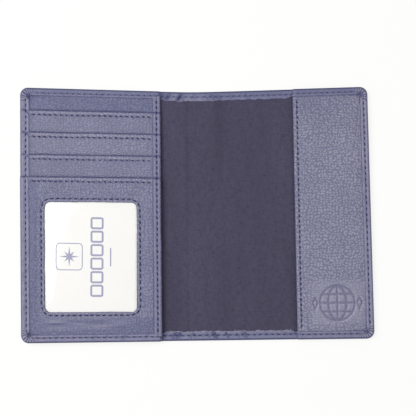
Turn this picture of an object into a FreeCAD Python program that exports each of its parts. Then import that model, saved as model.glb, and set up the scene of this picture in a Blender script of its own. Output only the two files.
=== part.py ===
"""Leather passport holder, lying open and flat with its inside up.

A cover of one turned-edge leather sheet folds at two creases beside the spine.  The left cover carries
a panel with three card slots and a window pocket, the right cover carries a sleeve flap, and a passport's
boards slide behind both from the spine side.

Frame: millimetres, origin at the centre of the resting face, +X to the right, +Y to the top, +Z up.
"""

import FreeCAD, Part
import os

from FreeCAD import Vector

# Whole holder, open and flat
WIDTH = 196.0
HEIGHT = 140.0
CORNER_RADIUS = 4.5
SPINE_WIDTH = 11.0  # from crease to crease
CREASE_GAP = 0.2  # the rigid halves stay this far apart at a crease
EDGE_RELIEF = 0.9  # the turned edge stops this far from a crease, so that it clears when folded

# Thickness of each material
COVER_LEATHER = 0.9
STIFFENER = 0.3
RFID_FILM = 0.1
LINING = 0.2
LEAF_LEATHER = 0.4
FLAP_LEATHER = 0.8
CLEAR_FILM = 0.15
CARD = 0.4
THREAD_RISE = 0.1

# Turned edge that runs round the cover
EDGE_ON_PANEL = 4.5  # width where it holds a panel
EDGE_ON_LINING = 5.4  # width where it lies on the lining
EDGE_LIP = 0.5
BOARD_INSET = 3.2  # the hidden boards and films end this far from the outline, inside the seam

# Passport pockets
POCKET_GAP = 1.0
PANEL_EDGE_X = -19.5  # inner edge of the left panel
FLAP_EDGE_X = 55.2  # inner edge of the right flap
FLAP_TURN_WIDTH = 8.0
FLAP_TURN = 0.4

# Left panel: mouths of the three card slots, then of the window pocket
MOUTHS_Y = [57.4, 45.1, 32.8, 20.5]
LEAF_OVERLAP = 6.0  # how far a leaf runs on below the next mouth
TONGUE_DEPTH = 80.0
BINDING_WIDTH = 4.4
BINDING = 0.4
WINDOW_LEFT, WINDOW_RIGHT = -84.3, -33.0
WINDOW_BOTTOM, WINDOW_TOP = -53.3, 6.8
WINDOW_RADIUS = 3.0
WINDOW_MARGIN = 3.0  # how far the clear film runs on behind the frame

# Insert card, a standard card standing on its short side
CARD_WIDTH, CARD_HEIGHT = 54.0, 85.6
CARD_RADIUS = 3.0
CARD_LEFT, CARD_BOTTOM = -86.9, -65.7
CARD_CLEARANCE = 0.18
FILM_CLEARANCE = 0.05

# Stitching
STITCH_WIDTH = 0.6
STITCH_SHARE = 0.72  # of the pitch that shows as thread
EDGE_STITCH_INSET = 2.3
SLOT_STITCH_INSET = 2.4
WINDOW_STITCH_INSET = 1.8
EDGE_PITCH = 3.3
SLOT_PITCH = 3.1
PANEL_PITCH = 3.1

# Levels above the resting face
HALF_WIDTH, HALF_HEIGHT = WIDTH / 2, HEIGHT / 2
CREASE_X = SPINE_WIDTH / 2
STIFFENER_TOP = COVER_LEATHER + STIFFENER
FILM_TOP = STIFFENER_TOP + RFID_FILM
LINING_TOP = FILM_TOP + LINING  # the creases turn about this level
BACKING_BOTTOM = LINING_TOP + POCKET_GAP
BACKING_TOP = BACKING_BOTTOM + LINING
LEAF_TOPS = [BACKING_TOP + LEAF_LEATHER * (1 + i) for i in range(4)]  # header, then slots 1 to 3
CARD_LEVEL = LEAF_TOPS[3] + CARD_CLEARANCE
FILM_LEVEL = CARD_LEVEL + CARD + FILM_CLEARANCE
WINDOW_LEVEL = FILM_LEVEL + CLEAR_FILM
WINDOW_PANEL_TOP = WINDOW_LEVEL + LEAF_LEATHER
STEPS = LEAF_TOPS + [WINDOW_PANEL_TOP]  # panel surface between one mouth and the next, from the top down
FLAP_BOTTOM = BACKING_BOTTOM + LINING
FLAP_TOP = FLAP_BOTTOM + FLAP_LEATHER
HIGHEST = WINDOW_PANEL_TOP + EDGE_LIP
TOOL_MARGIN = 1.0  # how far a cutting solid runs on past what it cuts
NEAR = 0.01  # edges this close to a plane count as lying on it

# Faces that the inner layers end at
INNER_X = HALF_WIDTH - COVER_LEATHER
INNER_Y = HALF_HEIGHT - COVER_LEATHER
PANEL_LEAF_X = PANEL_EDGE_X - BINDING
LIP_INNER_X = HALF_WIDTH - EDGE_ON_PANEL
LIP_INNER_Y = HALF_HEIGHT - EDGE_ON_PANEL


def box(x0, x1, y0, y1, z0, z1):
    return Part.makeBox(x1 - x0, y1 - y0, z1 - z0, Vector(x0, y0, z0))


def rounded_wire(x0, x1, y0, y1, z, radius):
    """Closed wire round a rectangle with rounded corners, from the left end of its top side."""
    corners = [(x1, y1, 0, -1), (x1, y0, -1, 0), (x0, y0, 0, 1), (x0, y1, 1, 0)]
    edges = []
    start = Vector(x0 + radius, y1, z)
    bow = radius * (1 - 0.5**0.5)
    for x, y, leave_x, leave_y in corners:
        in_x, in_y = (leave_y, -leave_x)  # the direction back along the side just drawn
        arc_start = Vector(x + in_x * radius, y + in_y * radius, z)
        arc_end = Vector(x + leave_x * radius, y + leave_y * radius, z)
        middle = Vector(x + (in_x + leave_x) * bow, y + (in_y + leave_y) * bow, z)
        edges.append(Part.LineSegment(start, arc_start).toShape())
        edges.append(Part.Arc(arc_start, middle, arc_end).toShape())
        start = arc_end
    return Part.Wire(edges)


def rounded_prism(x0, x1, y0, y1, z0, z1, radius):
    wire = rounded_wire(x0, x1, y0, y1, z0, radius)
    return Part.Face(wire).extrude(Vector(0, 0, z1 - z0))


def within_outline(shape, inset):
    """The part of a shape that lies inside the holder's rounded outline, drawn in by inset."""
    x, y = HALF_WIDTH - inset, HALF_HEIGHT - inset
    room = rounded_prism(-x, x, -y, y, -TOOL_MARGIN, HIGHEST + TOOL_MARGIN, CORNER_RADIUS - inset)
    return shape.common(room)


def inner_sheet(x0, x1, z0, z1, y0=-INNER_Y, y1=INNER_Y):
    """A flat layer held inside the turned edge."""
    return within_outline(box(x0, x1, y0, y1, z0, z1), COVER_LEATHER)


def join(shapes):
    return shapes[0].multiFuse(shapes[1:]).removeSplitter()


def side_prism(points, x0, x1):
    """Extrudes a closed outline of (y, z) points from x0 to x1."""
    corners = [Vector(x0, y, z) for y, z in points]
    face = Part.Face(Part.makePolygon(corners + corners[:1]))
    return face.extrude(Vector(x1 - x0, 0, 0))


def stair(rise, y0, y1):
    """(y, z) points along the panel's stepped surface from y0 up to y1, raised and drawn out by rise."""
    points = [(y0, STEPS[4] + rise)]
    for i in (3, 2, 1, 0):
        step_y = MOUTHS_Y[i] + rise
        points += [(step_y, STEPS[i + 1] + rise), (step_y, STEPS[i] + rise)]
    return points + [(y1, STEPS[0] + rise)]


def stepped_band(x0, x1, y0, y1, thickness):
    """A strip lying on the panel's stepped surface."""
    return side_prism(stair(0, y0, y1) + stair(thickness, y0, y1)[::-1], x0, x1)


def stepped_wall(x0, x1, y0, y1, bottom, rise):
    """An upright wall from a level up to the panel's stepped surface and a little above."""
    return side_prism([(y0, bottom), *stair(rise, y0, y1), (y1, bottom)], x0, x1)


def panel_level(y, rise):
    """Height of the stepped surface, raised by rise, at a given y."""
    passed = sum(1 for mouth in MOUTHS_Y if y <= mouth + rise)
    return STEPS[passed] + rise


def cover_span(side):
    """Left and right x of the left (-1) or right (+1) cover, from its crease to the outer edge."""
    near, far = side * (CREASE_X + CREASE_GAP / 2), side * HALF_WIDTH
    return min(near, far), max(near, far)


def cover_board(side, z0, z1):
    """One hidden layer of a cover, which ends inside the seam."""
    board = box(*cover_span(side), -HALF_HEIGHT, HALF_HEIGHT, z0, z1)
    return within_outline(board, BOARD_INSET)


def cover_lining(side):
    return inner_sheet(*cover_span(side), FILM_TOP, LINING_TOP)


def outer_leather(side):
    slab = box(*cover_span(side), -HALF_HEIGHT, HALF_HEIGHT, 0, COVER_LEATHER)
    return within_outline(slab, 0)


def edge_runs(x0, x1, width, lip_bottom, sides=(-1, 1)):
    """Turned edge along the top (+1) and bottom (-1) of the cover between two x, on one level."""
    runs = []
    for side in sides:
        wall_y = sorted((side * INNER_Y, side * HALF_HEIGHT))
        lip_y = sorted((side * (HALF_HEIGHT - width), side * HALF_HEIGHT))
        runs.append(box(x0, x1, *wall_y, COVER_LEATHER, lip_bottom + EDGE_LIP))
        runs.append(box(x0, x1, *lip_y, lip_bottom, lip_bottom + EDGE_LIP))
    return runs


def turned_edge_left():
    end = -(CREASE_X + EDGE_RELIEF)
    side = [
        stepped_wall(-HALF_WIDTH, -INNER_X, -HALF_HEIGHT, HALF_HEIGHT, COVER_LEATHER, EDGE_LIP),
        stepped_band(-HALF_WIDTH, -LIP_INNER_X, -HALF_HEIGHT, HALF_HEIGHT, EDGE_LIP),
    ]
    top = edge_runs(-HALF_WIDTH, PANEL_LEAF_X, EDGE_ON_PANEL, STEPS[0], [1])
    bottom = edge_runs(-HALF_WIDTH, PANEL_LEAF_X, EDGE_ON_PANEL, STEPS[4], [-1])
    bare = edge_runs(PANEL_LEAF_X, end, EDGE_ON_LINING, LINING_TOP)
    return within_outline(join(side + top + bottom + bare), 0)


def turned_edge_spine():
    end = CREASE_X - EDGE_RELIEF
    runs = edge_runs(-end, end, EDGE_ON_LINING, LINING_TOP)
    return Part.Compound([join(runs[:2]), join(runs[2:])])


def turned_edge_right():
    start = CREASE_X + EDGE_RELIEF
    lip_top = FLAP_TOP + EDGE_LIP
    side = [
        box(INNER_X, HALF_WIDTH, -HALF_HEIGHT, HALF_HEIGHT, COVER_LEATHER, lip_top),
        box(LIP_INNER_X, HALF_WIDTH, -HALF_HEIGHT, HALF_HEIGHT, FLAP_TOP, lip_top),
    ]
    bare = edge_runs(start, FLAP_EDGE_X, EDGE_ON_LINING, LINING_TOP)
    held = edge_runs(FLAP_EDGE_X, HALF_WIDTH, EDGE_ON_PANEL, FLAP_TOP)
    return within_outline(join(side + bare + held), 0)


def panel_leaf(y0, y1, z0, thickness):
    """A layer of the left panel, from the turned edge to the binding."""
    return inner_sheet(-INNER_X, PANEL_LEAF_X, z0, z0 + thickness, y0, y1)


def card_slot(i):
    """Leather leaf of slot i (1 to 3), from its mouth to below the next one."""
    return panel_leaf(MOUTHS_Y[i] - LEAF_OVERLAP, MOUTHS_Y[i - 1], STEPS[i - 1], LEAF_LEATHER)


def slot_tongue(i):
    """Fabric that hangs from leaf i and closes the pocket behind it."""
    top = MOUTHS_Y[i] - LEAF_OVERLAP
    return panel_leaf(MOUTHS_Y[i - 1] - TONGUE_DEPTH, top, STEPS[i - 1], LINING)


def window_panel():
    leaf = panel_leaf(-INNER_Y, MOUTHS_Y[3], WINDOW_LEVEL, LEAF_LEATHER)
    low, high = WINDOW_LEVEL - TOOL_MARGIN, WINDOW_PANEL_TOP + TOOL_MARGIN
    opening = rounded_prism(
        WINDOW_LEFT, WINDOW_RIGHT, WINDOW_BOTTOM, WINDOW_TOP, low, high, WINDOW_RADIUS
    )
    return leaf.cut(opening)


def window_film():
    return box(
        WINDOW_LEFT - WINDOW_MARGIN,
        WINDOW_RIGHT + WINDOW_MARGIN,
        WINDOW_BOTTOM - WINDOW_MARGIN,
        WINDOW_TOP + WINDOW_MARGIN,
        FILM_LEVEL,
        WINDOW_LEVEL,
    )


def panel_binding():
    """Strip folded round the panel's inner edge, between the two runs of turned edge."""
    flange_x = PANEL_EDGE_X - BINDING_WIDTH
    y0, y1 = -LIP_INNER_Y, LIP_INNER_Y
    under = BACKING_BOTTOM - BINDING
    return join([
        stepped_band(flange_x, PANEL_EDGE_X, y0, y1, BINDING),
        stepped_wall(PANEL_LEAF_X, PANEL_EDGE_X, y0, y1, under, BINDING),
        box(flange_x, PANEL_EDGE_X, y0, y1, under, BACKING_BOTTOM),
    ])


def passport_flap():
    """Flap leather with its inner edge turned under."""
    leaf = inner_sheet(FLAP_EDGE_X, INNER_X, FLAP_BOTTOM, FLAP_TOP)
    turned_x = FLAP_EDGE_X + FLAP_TURN_WIDTH
    turn = inner_sheet(FLAP_EDGE_X, turned_x, FLAP_BOTTOM - FLAP_TURN, FLAP_BOTTOM)
    flap = join([leaf, turn])
    at_nose = [e for e in flap.Edges if e.BoundBox.XMax < FLAP_EDGE_X + NEAR]
    long_edges = [e for e in at_nose if e.Length > HEIGHT / 2]
    return flap.makeFillet(FLAP_TURN, long_edges)


def insert_card():
    return rounded_prism(
        CARD_LEFT,
        CARD_LEFT + CARD_WIDTH,
        CARD_BOTTOM,
        CARD_BOTTOM + CARD_HEIGHT,
        CARD_LEVEL,
        CARD_LEVEL + CARD,
        CARD_RADIUS,
    )


def stitches(wire, pitch, level):
    """Separate stitches end to end along a wire. level(x, y) is the surface they lie on."""
    count = round(wire.Length / pitch)
    knots = wire.discretize(Number=count + 1)
    made = []
    for a, b in zip(knots, knots[1:]):
        run = b - a
        length = run.Length * STITCH_SHARE
        z = max(level(a.x, a.y), level(b.x, b.y))
        stitch = box(-length / 2, length / 2, -STITCH_WIDTH / 2, STITCH_WIDTH / 2, 0, THREAD_RISE)
        turn = FreeCAD.Rotation(Vector(1, 0, 0), Vector(run.x, run.y, 0))
        middle = (a + b) * 0.5
        stitch.Placement = FreeCAD.Placement(Vector(middle.x, middle.y, z), turn)
        made.append(stitch)
    return Part.Compound(made)


def line(x0, y0, x1, y1):
    return Part.Wire([Part.LineSegment(Vector(x0, y0, 0), Vector(x1, y1, 0)).toShape()])


def edge_path(side):
    """Seam line round one cover: along the bottom, up the outer side and back along the top."""
    near = side * (CREASE_X + EDGE_RELIEF)
    far_x, far_y = side * (HALF_WIDTH - EDGE_STITCH_INSET), HALF_HEIGHT - EDGE_STITCH_INSET
    radius = CORNER_RADIUS - EDGE_STITCH_INSET
    bow = side * radius * (1 - 0.5**0.5)
    flat_x, upright_y = far_x - side * radius, far_y - radius
    low_middle = Vector(far_x - bow, -far_y + abs(bow), 0)
    high_middle = Vector(far_x - bow, far_y - abs(bow), 0)
    low_flat, high_flat = Vector(flat_x, -far_y, 0), Vector(flat_x, far_y, 0)
    low_side, high_side = Vector(far_x, -upright_y, 0), Vector(far_x, upright_y, 0)
    pieces = [
        Part.LineSegment(Vector(near, -far_y, 0), low_flat),
        Part.Arc(low_flat, low_middle, low_side),
        Part.LineSegment(low_side, high_side),
        Part.Arc(high_side, high_middle, high_flat),
        Part.LineSegment(high_flat, Vector(near, far_y, 0)),
    ]
    return Part.Wire([piece.toShape() for piece in pieces])


def left_edge_level(x, y):
    if x < PANEL_LEAF_X:
        return panel_level(y, EDGE_LIP)
    return LINING_TOP + EDGE_LIP


def right_edge_level(x, y):
    return (FLAP_TOP if x > FLAP_EDGE_X else LINING_TOP) + EDGE_LIP


def spine_stitches():
    end, y = CREASE_X - EDGE_RELIEF, HALF_HEIGHT - EDGE_STITCH_INSET
    rows = [stitches(line(-end, s * y, end, s * y), EDGE_PITCH, right_edge_level) for s in (-1, 1)]
    return Part.Compound([solid for row in rows for solid in row.Solids])


def slot_stitches(i):
    """Row below mouth i, between the turned edge and the binding."""
    y = MOUTHS_Y[i] - SLOT_STITCH_INSET
    x0, x1 = -LIP_INNER_X + STITCH_WIDTH, PANEL_EDGE_X - BINDING_WIDTH - STITCH_WIDTH
    row = line(x0, y, x1, y)
    return stitches(row, SLOT_PITCH, lambda x, y: STEPS[i + 1])


def window_stitches():
    inset = WINDOW_STITCH_INSET
    frame = rounded_wire(
        WINDOW_LEFT - inset,
        WINDOW_RIGHT + inset,
        WINDOW_BOTTOM - inset,
        WINDOW_TOP + inset,
        0,
        WINDOW_RADIUS + inset,
    )
    return stitches(frame, PANEL_PITCH, lambda x, y: WINDOW_PANEL_TOP)


def binding_stitches():
    x = PANEL_EDGE_X - BINDING_WIDTH / 2
    row = line(x, -LIP_INNER_Y, x, LIP_INNER_Y)
    return stitches(row, PANEL_PITCH, lambda x, y: panel_level(y, BINDING))


def flap_stitches():
    x = FLAP_EDGE_X + SLOT_STITCH_INSET
    row = line(x, -LIP_INNER_Y, x, LIP_INNER_Y)
    return stitches(row, PANEL_PITCH, lambda x, y: FLAP_TOP)


def spine_layer(inset, z0, z1):
    end, y = CREASE_X - CREASE_GAP / 2, HALF_HEIGHT - inset
    return box(-end, end, -y, y, z0, z1)


def left_cover():
    parts = {
        "outer_leather_left": outer_leather(-1),
        "turned_edge_left": turned_edge_left(),
        "stiffener_left": cover_board(-1, COVER_LEATHER, STIFFENER_TOP),
        "rfid_film_left": cover_board(-1, STIFFENER_TOP, FILM_TOP),
        "lining_left": cover_lining(-1),
        "panel_backing": panel_leaf(-INNER_Y, INNER_Y, BACKING_BOTTOM, LINING),
        "slot_header": panel_leaf(MOUTHS_Y[0] - LEAF_OVERLAP, INNER_Y, BACKING_TOP, LEAF_LEATHER),
        "window_panel": window_panel(),
        "window_film": window_film(),
        "panel_binding": panel_binding(),
        "stitches_edge_left": stitches(edge_path(-1), EDGE_PITCH, left_edge_level),
        "stitches_window_mouth": slot_stitches(3),
        "stitches_window_frame": window_stitches(),
        "stitches_binding": binding_stitches(),
    }
    for i in (1, 2, 3):
        parts[f"card_slot_{i}"] = card_slot(i)
        parts[f"slot_tongue_{i}"] = slot_tongue(i)
        parts[f"stitches_slot_{i}"] = slot_stitches(i - 1)
    return parts


def spine():
    return {
        "outer_leather_spine": spine_layer(0, 0, COVER_LEATHER),
        "turned_edge_spine": turned_edge_spine(),
        "spine_interlining": spine_layer(BOARD_INSET, COVER_LEATHER, FILM_TOP),
        "lining_spine": spine_layer(COVER_LEATHER, FILM_TOP, LINING_TOP),
        "stitches_edge_spine": spine_stitches(),
    }


def right_cover():
    turned_x = FLAP_EDGE_X + FLAP_TURN_WIDTH
    return {
        "outer_leather_right": outer_leather(1),
        "turned_edge_right": turned_edge_right(),
        "stiffener_right": cover_board(1, COVER_LEATHER, STIFFENER_TOP),
        "rfid_film_right": cover_board(1, STIFFENER_TOP, FILM_TOP),
        "lining_right": cover_lining(1),
        "passport_flap": passport_flap(),
        "flap_lining": inner_sheet(turned_x, INNER_X, BACKING_BOTTOM, FLAP_BOTTOM),
        "stitches_edge_right": stitches(edge_path(1), EDGE_PITCH, right_edge_level),
        "stitches_flap": flap_stitches(),
    }


def main():
    os.makedirs("parts", exist_ok=True)
    parts = {**left_cover(), **spine(), **right_cover(), "insert_card": insert_card()}
    for name, shape in parts.items():
        solids = shape.Solids
        volume = sum(solid.Volume for solid in solids)
        print(f"{name}: {len(solids)} solids, {volume:.1f} mm3, valid {shape.isValid()}")
        shape.exportStep(f"parts/{name}.step")


main()
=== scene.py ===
"""Looks of a leather passport holder that lies open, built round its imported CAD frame.

Shapes are worked out in millimetres on numpy arrays and become metres in add_mesh. Every shape is first
made on straight lines, as the CAD frame is, and lie() then gives it the lie of a soft, sewn thing.
"""

import math
from types import SimpleNamespace

import bmesh
import bpy
import numpy as np
from mathutils import Matrix, Vector


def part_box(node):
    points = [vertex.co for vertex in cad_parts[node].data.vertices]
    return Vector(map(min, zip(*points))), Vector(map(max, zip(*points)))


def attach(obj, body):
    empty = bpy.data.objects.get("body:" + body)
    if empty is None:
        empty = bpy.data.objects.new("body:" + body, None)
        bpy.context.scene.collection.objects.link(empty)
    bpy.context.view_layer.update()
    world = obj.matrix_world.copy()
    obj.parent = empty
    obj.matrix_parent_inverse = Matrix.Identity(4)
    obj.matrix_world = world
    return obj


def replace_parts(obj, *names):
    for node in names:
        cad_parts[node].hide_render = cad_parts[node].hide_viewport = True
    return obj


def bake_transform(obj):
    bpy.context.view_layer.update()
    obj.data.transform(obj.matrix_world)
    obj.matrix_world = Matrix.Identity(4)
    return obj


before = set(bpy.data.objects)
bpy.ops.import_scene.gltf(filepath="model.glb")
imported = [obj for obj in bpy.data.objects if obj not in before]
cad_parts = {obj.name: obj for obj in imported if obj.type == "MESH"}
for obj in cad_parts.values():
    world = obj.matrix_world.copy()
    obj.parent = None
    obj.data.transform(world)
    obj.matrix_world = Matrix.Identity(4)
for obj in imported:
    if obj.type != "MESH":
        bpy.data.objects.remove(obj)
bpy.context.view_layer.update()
MM = 0.001
X, Y, Z = 0, 1, 2


def low(node, axis):
    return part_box(node)[0][axis] / MM


def high(node, axis):
    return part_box(node)[1][axis] / MM


# Outline and levels, from the frame
HALF_WIDTH = high("outer_leather_right", X)
HALF_HEIGHT = high("outer_leather_right", Y)
COVER_TOP = high("outer_leather_left", Z)
LINING_TOP = high("lining_left", Z)
LINING_FLOOR = high("rfid_film_left", Z) + 0.03
LEAVES = ["slot_header", "card_slot_1", "card_slot_2", "card_slot_3", "window_panel"]
STEPS = [high(node, Z) for node in LEAVES]
MOUTHS = [high(node, Y) for node in LEAVES[1:]]
PANEL_EDGE = high("panel_binding", X)
BINDING_LEFT = low("panel_binding", X)
BINDING_RISE = high("panel_binding", Z) - STEPS[-1]
FLAP_EDGE = low("passport_flap", X)
FLAP_TOP = high("passport_flap", Z)
CREASE = high("outer_leather_spine", X)

# Sewing and leather, in millimetres
CORNER = 4.5
LEAST_CORNER = 1.8
RIM_ON_PANEL = 4.5
RIM_ON_LINING = 5.3
RIM_LEFT = 5.3  # the rim is turned over further at the left edge
RIM_TUCK = 3.2  # leaves and cloth run on this close to the edge, under the turned rim
TUCKED_X, TUCKED_Y = HALF_WIDTH - RIM_TUCK, HALF_HEIGHT - RIM_TUCK
LEAF = 0.4
SLOT_SEAM = 2.4
WINDOW_SEAM = 1.8
WINDOW_MARGIN = 3.0
WINDOW_CORNER = 3.2
SLOT_PITCH, WINDOW_PITCH, BINDING_PITCH, FLAP_PITCH = 3.1, 3.3, 3.1, 2.9

# For each edge of the cover: the seam's distance from it, how deep its thread lies, how much painted shade
# its rounded nose gets, how strong the painted highlight on the ridge beside it is, and how much painted
# shade the groove of its seam gets
SEAMS = {"left": 3.3, "right": 2.65, "top": 2.85, "bottom": 2.98}
THREAD_SUNK = {"left": 0.0, "right": 0.06, "top": 0.26, "bottom": 0.14}
NOSE_DARK = {"left": 0.5, "right": 0.25, "top": 0.95, "bottom": 0.85}
RIDGE_HIGHLIGHT = {"left": 0.9, "right": 1.1, "top": 0.4, "bottom": 0.7}
SEAM_GROOVE_SHADE = {"left": 0.2, "right": 0.05, "top": 0.15, "bottom": 0.15}

# How the sewn thing lies: drift from the straight outline
PINCH = 0.2  # each end of the spine is drawn in by this much
TAPER = {-1: 1.75, 1: 0.8}  # growth of the half height towards the outer edge
FAN = {-1: 0.0180, 1: 0.0125}  # slope of each cover in plan, in mm per mm
LEAN = {-1: -0.009, 1: 0.0105}
FAN_BACK = 0.7  # keeps the fanned covers centred on the frame
EASE = 9.0  # the covers' slopes run into each other over this distance
WORD = {-1: "left", 1: "right"}


def smooth(t):
    t = np.clip(t, 0.0, 1.0)
    return t * t * (3 - 2 * t)


def bell(offset, width):
    return np.exp(-((offset / width) ** 2))


def flat(z):
    """A level surface, as a function of x and y."""
    return lambda x, y: z + 0 * x


def wander(u, v, size, seed):
    """Smooth seeded unevenness from -1 to 1 over a plane, in bumps about size across."""
    table = np.random.default_rng(seed).uniform(-1, 1, (64, 64))
    a, b = np.broadcast_arrays(u / size + 29.3, v / size + 17.6)
    i, j = np.floor(a).astype(int), np.floor(b).astype(int)
    fa, fb = smooth(a - i), smooth(b - j)
    near = table[i % 64, j % 64] * (1 - fa) + table[(i + 1) % 64, j % 64] * fa
    far = table[i % 64, (j + 1) % 64] * (1 - fa) + table[(i + 1) % 64, (j + 1) % 64] * fa
    return near * (1 - fb) + far * fb


def by_side(x, values):
    share = smooth((x + EASE) / (2 * EASE))
    return values[-1] * (1 - share) + values[1] * share


def lie(points):
    """Moves straight-built points to where the holder lies: tapered, fanned and drawn in at the spine."""
    x, y, z = points[..., 0], points[..., 1], points[..., 2]
    reach = np.sqrt(x * x + EASE * EASE) - EASE
    out = reach / HALF_WIDTH
    grow = (by_side(x, TAPER) * out - PINCH * (1 - out)) / HALF_HEIGHT
    moved_y = y * (1 + grow) + reach * by_side(x, FAN) - FAN_BACK
    moved_x = x - np.sign(x) * y * out * by_side(x, LEAN)
    return np.stack([moved_x, moved_y, z], -1)


# Meshes

SHARP = 1.1  # radians between two faces, above which their edge stays crisp
WELD = 2e-6  # metres


def add_mesh(name, points, faces, **marks):
    """A smooth-shaded object from points in millimetres. Each mark is a per-point number for its material."""
    mesh = bpy.data.meshes.new(name)
    mesh.from_pydata((lie(np.asarray(points, float)) * MM).tolist(), [], [list(f) for f in faces])
    for mark, values in marks.items():
        layer = mesh.attributes.new(mark, "FLOAT", "POINT")
        layer.data.foreach_set("value", np.asarray(values, np.float32))
    mesh.shade_smooth()
    made = bpy.data.objects.new(name, mesh)
    bpy.context.scene.collection.objects.link(made)
    return made


def tidy(made, weld=True, capped=False):
    """Turns all faces outwards. weld also joins touching points and keeps sharp edges crisp, and capped also
    closes the cut at the middle of the spine."""
    bm = bmesh.new()
    bm.from_mesh(made.data)
    if weld:
        bmesh.ops.remove_doubles(bm, verts=bm.verts, dist=WELD)
    if capped:
        bmesh.ops.holes_fill(bm, edges=[e for e in bm.edges if e.is_boundary], sides=0)
    bmesh.ops.recalc_face_normals(bm, faces=bm.faces)
    for face in bm.faces:
        face.smooth = True
    for edge in bm.edges:
        if weld and edge.is_manifold and edge.calc_face_angle(0.0) > SHARP:
            edge.smooth = False
    bm.to_mesh(made.data)
    bm.free()
    return made


def grid_faces(rows, columns, start=0, wrap=False):
    """Quads of a grid with its points in rows. wrap joins the last row to the first."""
    last = rows if wrap else rows - 1
    faces = []
    for r in range(last):
        a, b = start + r * columns, start + ((r + 1) % rows) * columns
        faces += [(a + c, a + c + 1, b + c + 1, b + c) for c in range(columns - 1)]
    return faces


def ring_faces(rings, around, start=0):
    """Quads that join each closed ring of points to the next."""
    faces = []
    for a in range(start, start + (rings - 1) * around, around):
        b = a + around
        faces += [(a + i, a + (i + 1) % around, b + (i + 1) % around, b + i) for i in range(around)]
    return faces


def tube_faces(rings, around, start=0):
    """A tube of closed rings, with a cap on each end."""
    last = start + (rings - 1) * around
    caps = [tuple(range(start, start + around))[::-1], tuple(range(last, last + around))]
    return ring_faces(rings, around, start) + caps


def sheet(name, x, y, top, bottom, faces, **marks):
    """A thin closed piece between two surfaces over the same points, walled in round its border."""
    n = len(x)
    points = np.concatenate([np.stack([x, y, top], -1), np.stack([x, y, bottom], -1)])
    sides = dict.fromkeys((a, b) for face in faces for a, b in zip(face, face[1:] + face[:1]))
    under = [tuple(n + i for i in face[::-1]) for face in faces]
    walls = [(b, a, n + a, n + b) for a, b in sides if (b, a) not in sides]
    doubled = {mark: np.concatenate([values, values]) for mark, values in marks.items()}
    return tidy(add_mesh(name, points, [*faces, *under, *walls], **doubled))


def grid_sheet(name, xs, ys, top, bottom, **marks):
    """A sheet over a rectangular net. top, bottom and marks are functions of x and y."""
    x, y = (a.ravel() for a in np.meshgrid(xs, ys))
    found = {mark: f(x, y) for mark, f in marks.items()}
    return sheet(name, x, y, top(x, y), bottom(x, y), grid_faces(len(ys), len(xs)), **found)


def spaced(a, b, step):
    """Points from a to b, about step apart."""
    return np.linspace(a, b, max(2, round(abs(b - a) / step) + 1))


def joined(*runs):
    """Several runs of points end to end, each meeting the next at one point."""
    return np.concatenate([runs[0]] + [run[1:] for run in runs[1:]])


def path_lengths(path):
    """Distance gone along a path at each of its points."""
    return np.concatenate([[0], np.cumsum(np.linalg.norm(np.diff(path, axis=0), axis=1))])


# Heights of the sewn layers


def panel_steps(y, ease=0.7):
    """Top of the panel's stack of leaves, which rises by one leaf below each mouth."""
    level = np.full_like(y, STEPS[0])
    for i, mouth in enumerate(MOUTHS):
        level = level + (STEPS[i + 1] - STEPS[i]) * smooth((mouth - y) / ease + 0.5)
    return level


def seat(x, y):
    """What the turned rim lies on: the panel, the lining or the flap."""
    on_panel = smooth((PANEL_EDGE - x) / 1.6 + 0.2)
    on_flap = smooth((x - FLAP_EDGE) / 1.4 + 0.2)
    level = LINING_TOP + (panel_steps(y) - LINING_TOP) * on_panel
    return level + (FLAP_TOP - LINING_TOP) * on_flap


def over_lining(x):
    """1 where the turned rim lies on the cloth, 0 on the panel and on the flap."""
    return smooth((x - PANEL_EDGE) / 2) * smooth((FLAP_EDGE - x) / 2)


def step_shade_lines(x, y):
    """Painted shade lines over the rim and the binding, where the steps of the layers below would press
    creases.
    """
    steps = sum(bell(y - mouth - 0.1, 0.5) for mouth in MOUTHS) * (x < PANEL_EDGE)
    ends = bell(x - PANEL_EDGE - 0.3, 0.45) + bell(x - FLAP_EDGE + 0.2, 0.45)
    return np.minimum(1.0, steps + 0.8 * ends)


def gathers(x, y):
    """Small folds across the rim, from -1 to 1, strongest at the top of the spine."""
    near_spine = bell(x + 4, 13) * (y > 0) + 0.4 * bell(x, 30) * (y < 0)
    slanted = x + 0.5 * y * np.sign(x + 3)
    ridges = wander(slanted, y * 0.15, 1.5, 5) + 0.4 * wander(slanted, y * 0.3, 0.9, 6)
    return (0.12 + 0.88 * near_spine) * ridges * smooth((np.abs(x) - 0.3) / 1.5)


# Cover: one leather sheet, turned over round the edge, in two halves that meet at the middle of the spine

TOP_STITCHES, SIDE_STITCHES = 28, 40
FINE_STITCHES = 2  # beside a corner, the outline's points lie three times as close
CORNER_RUN = 30
NOSE = 1.5  # the rounded edge itself reaches this far in
PLATE_INSET, PLATE_BORDER = 7.0, 1.5
GATHER = 0.26  # height of the small folds across the rim
PLEAT = 19.0  # degrees from fold to fold in the fan at a corner
PLEAT_RISE = 0.42
FAN_CENTRE = 5.7  # from both edges


def run_phase(stitches, fine_start):
    """Stitches passed along a straight run, at each of its points."""
    first = FINE_STITCHES if fine_start else 0
    last = stitches - FINE_STITCHES
    start, middle = np.arange(0, 12 * first) / 12, np.arange(4 * first, 4 * last) / 4
    return np.concatenate([start, middle, np.arange(12 * last, 12 * stitches + 1) / 12])


TOP_PHASE, SIDE_PHASE = run_phase(TOP_STITCHES, False), run_phase(SIDE_STITCHES, True)
TOP_RUN, SIDE_RUN = len(TOP_PHASE) - 1, len(SIDE_PHASE) - 1


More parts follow.
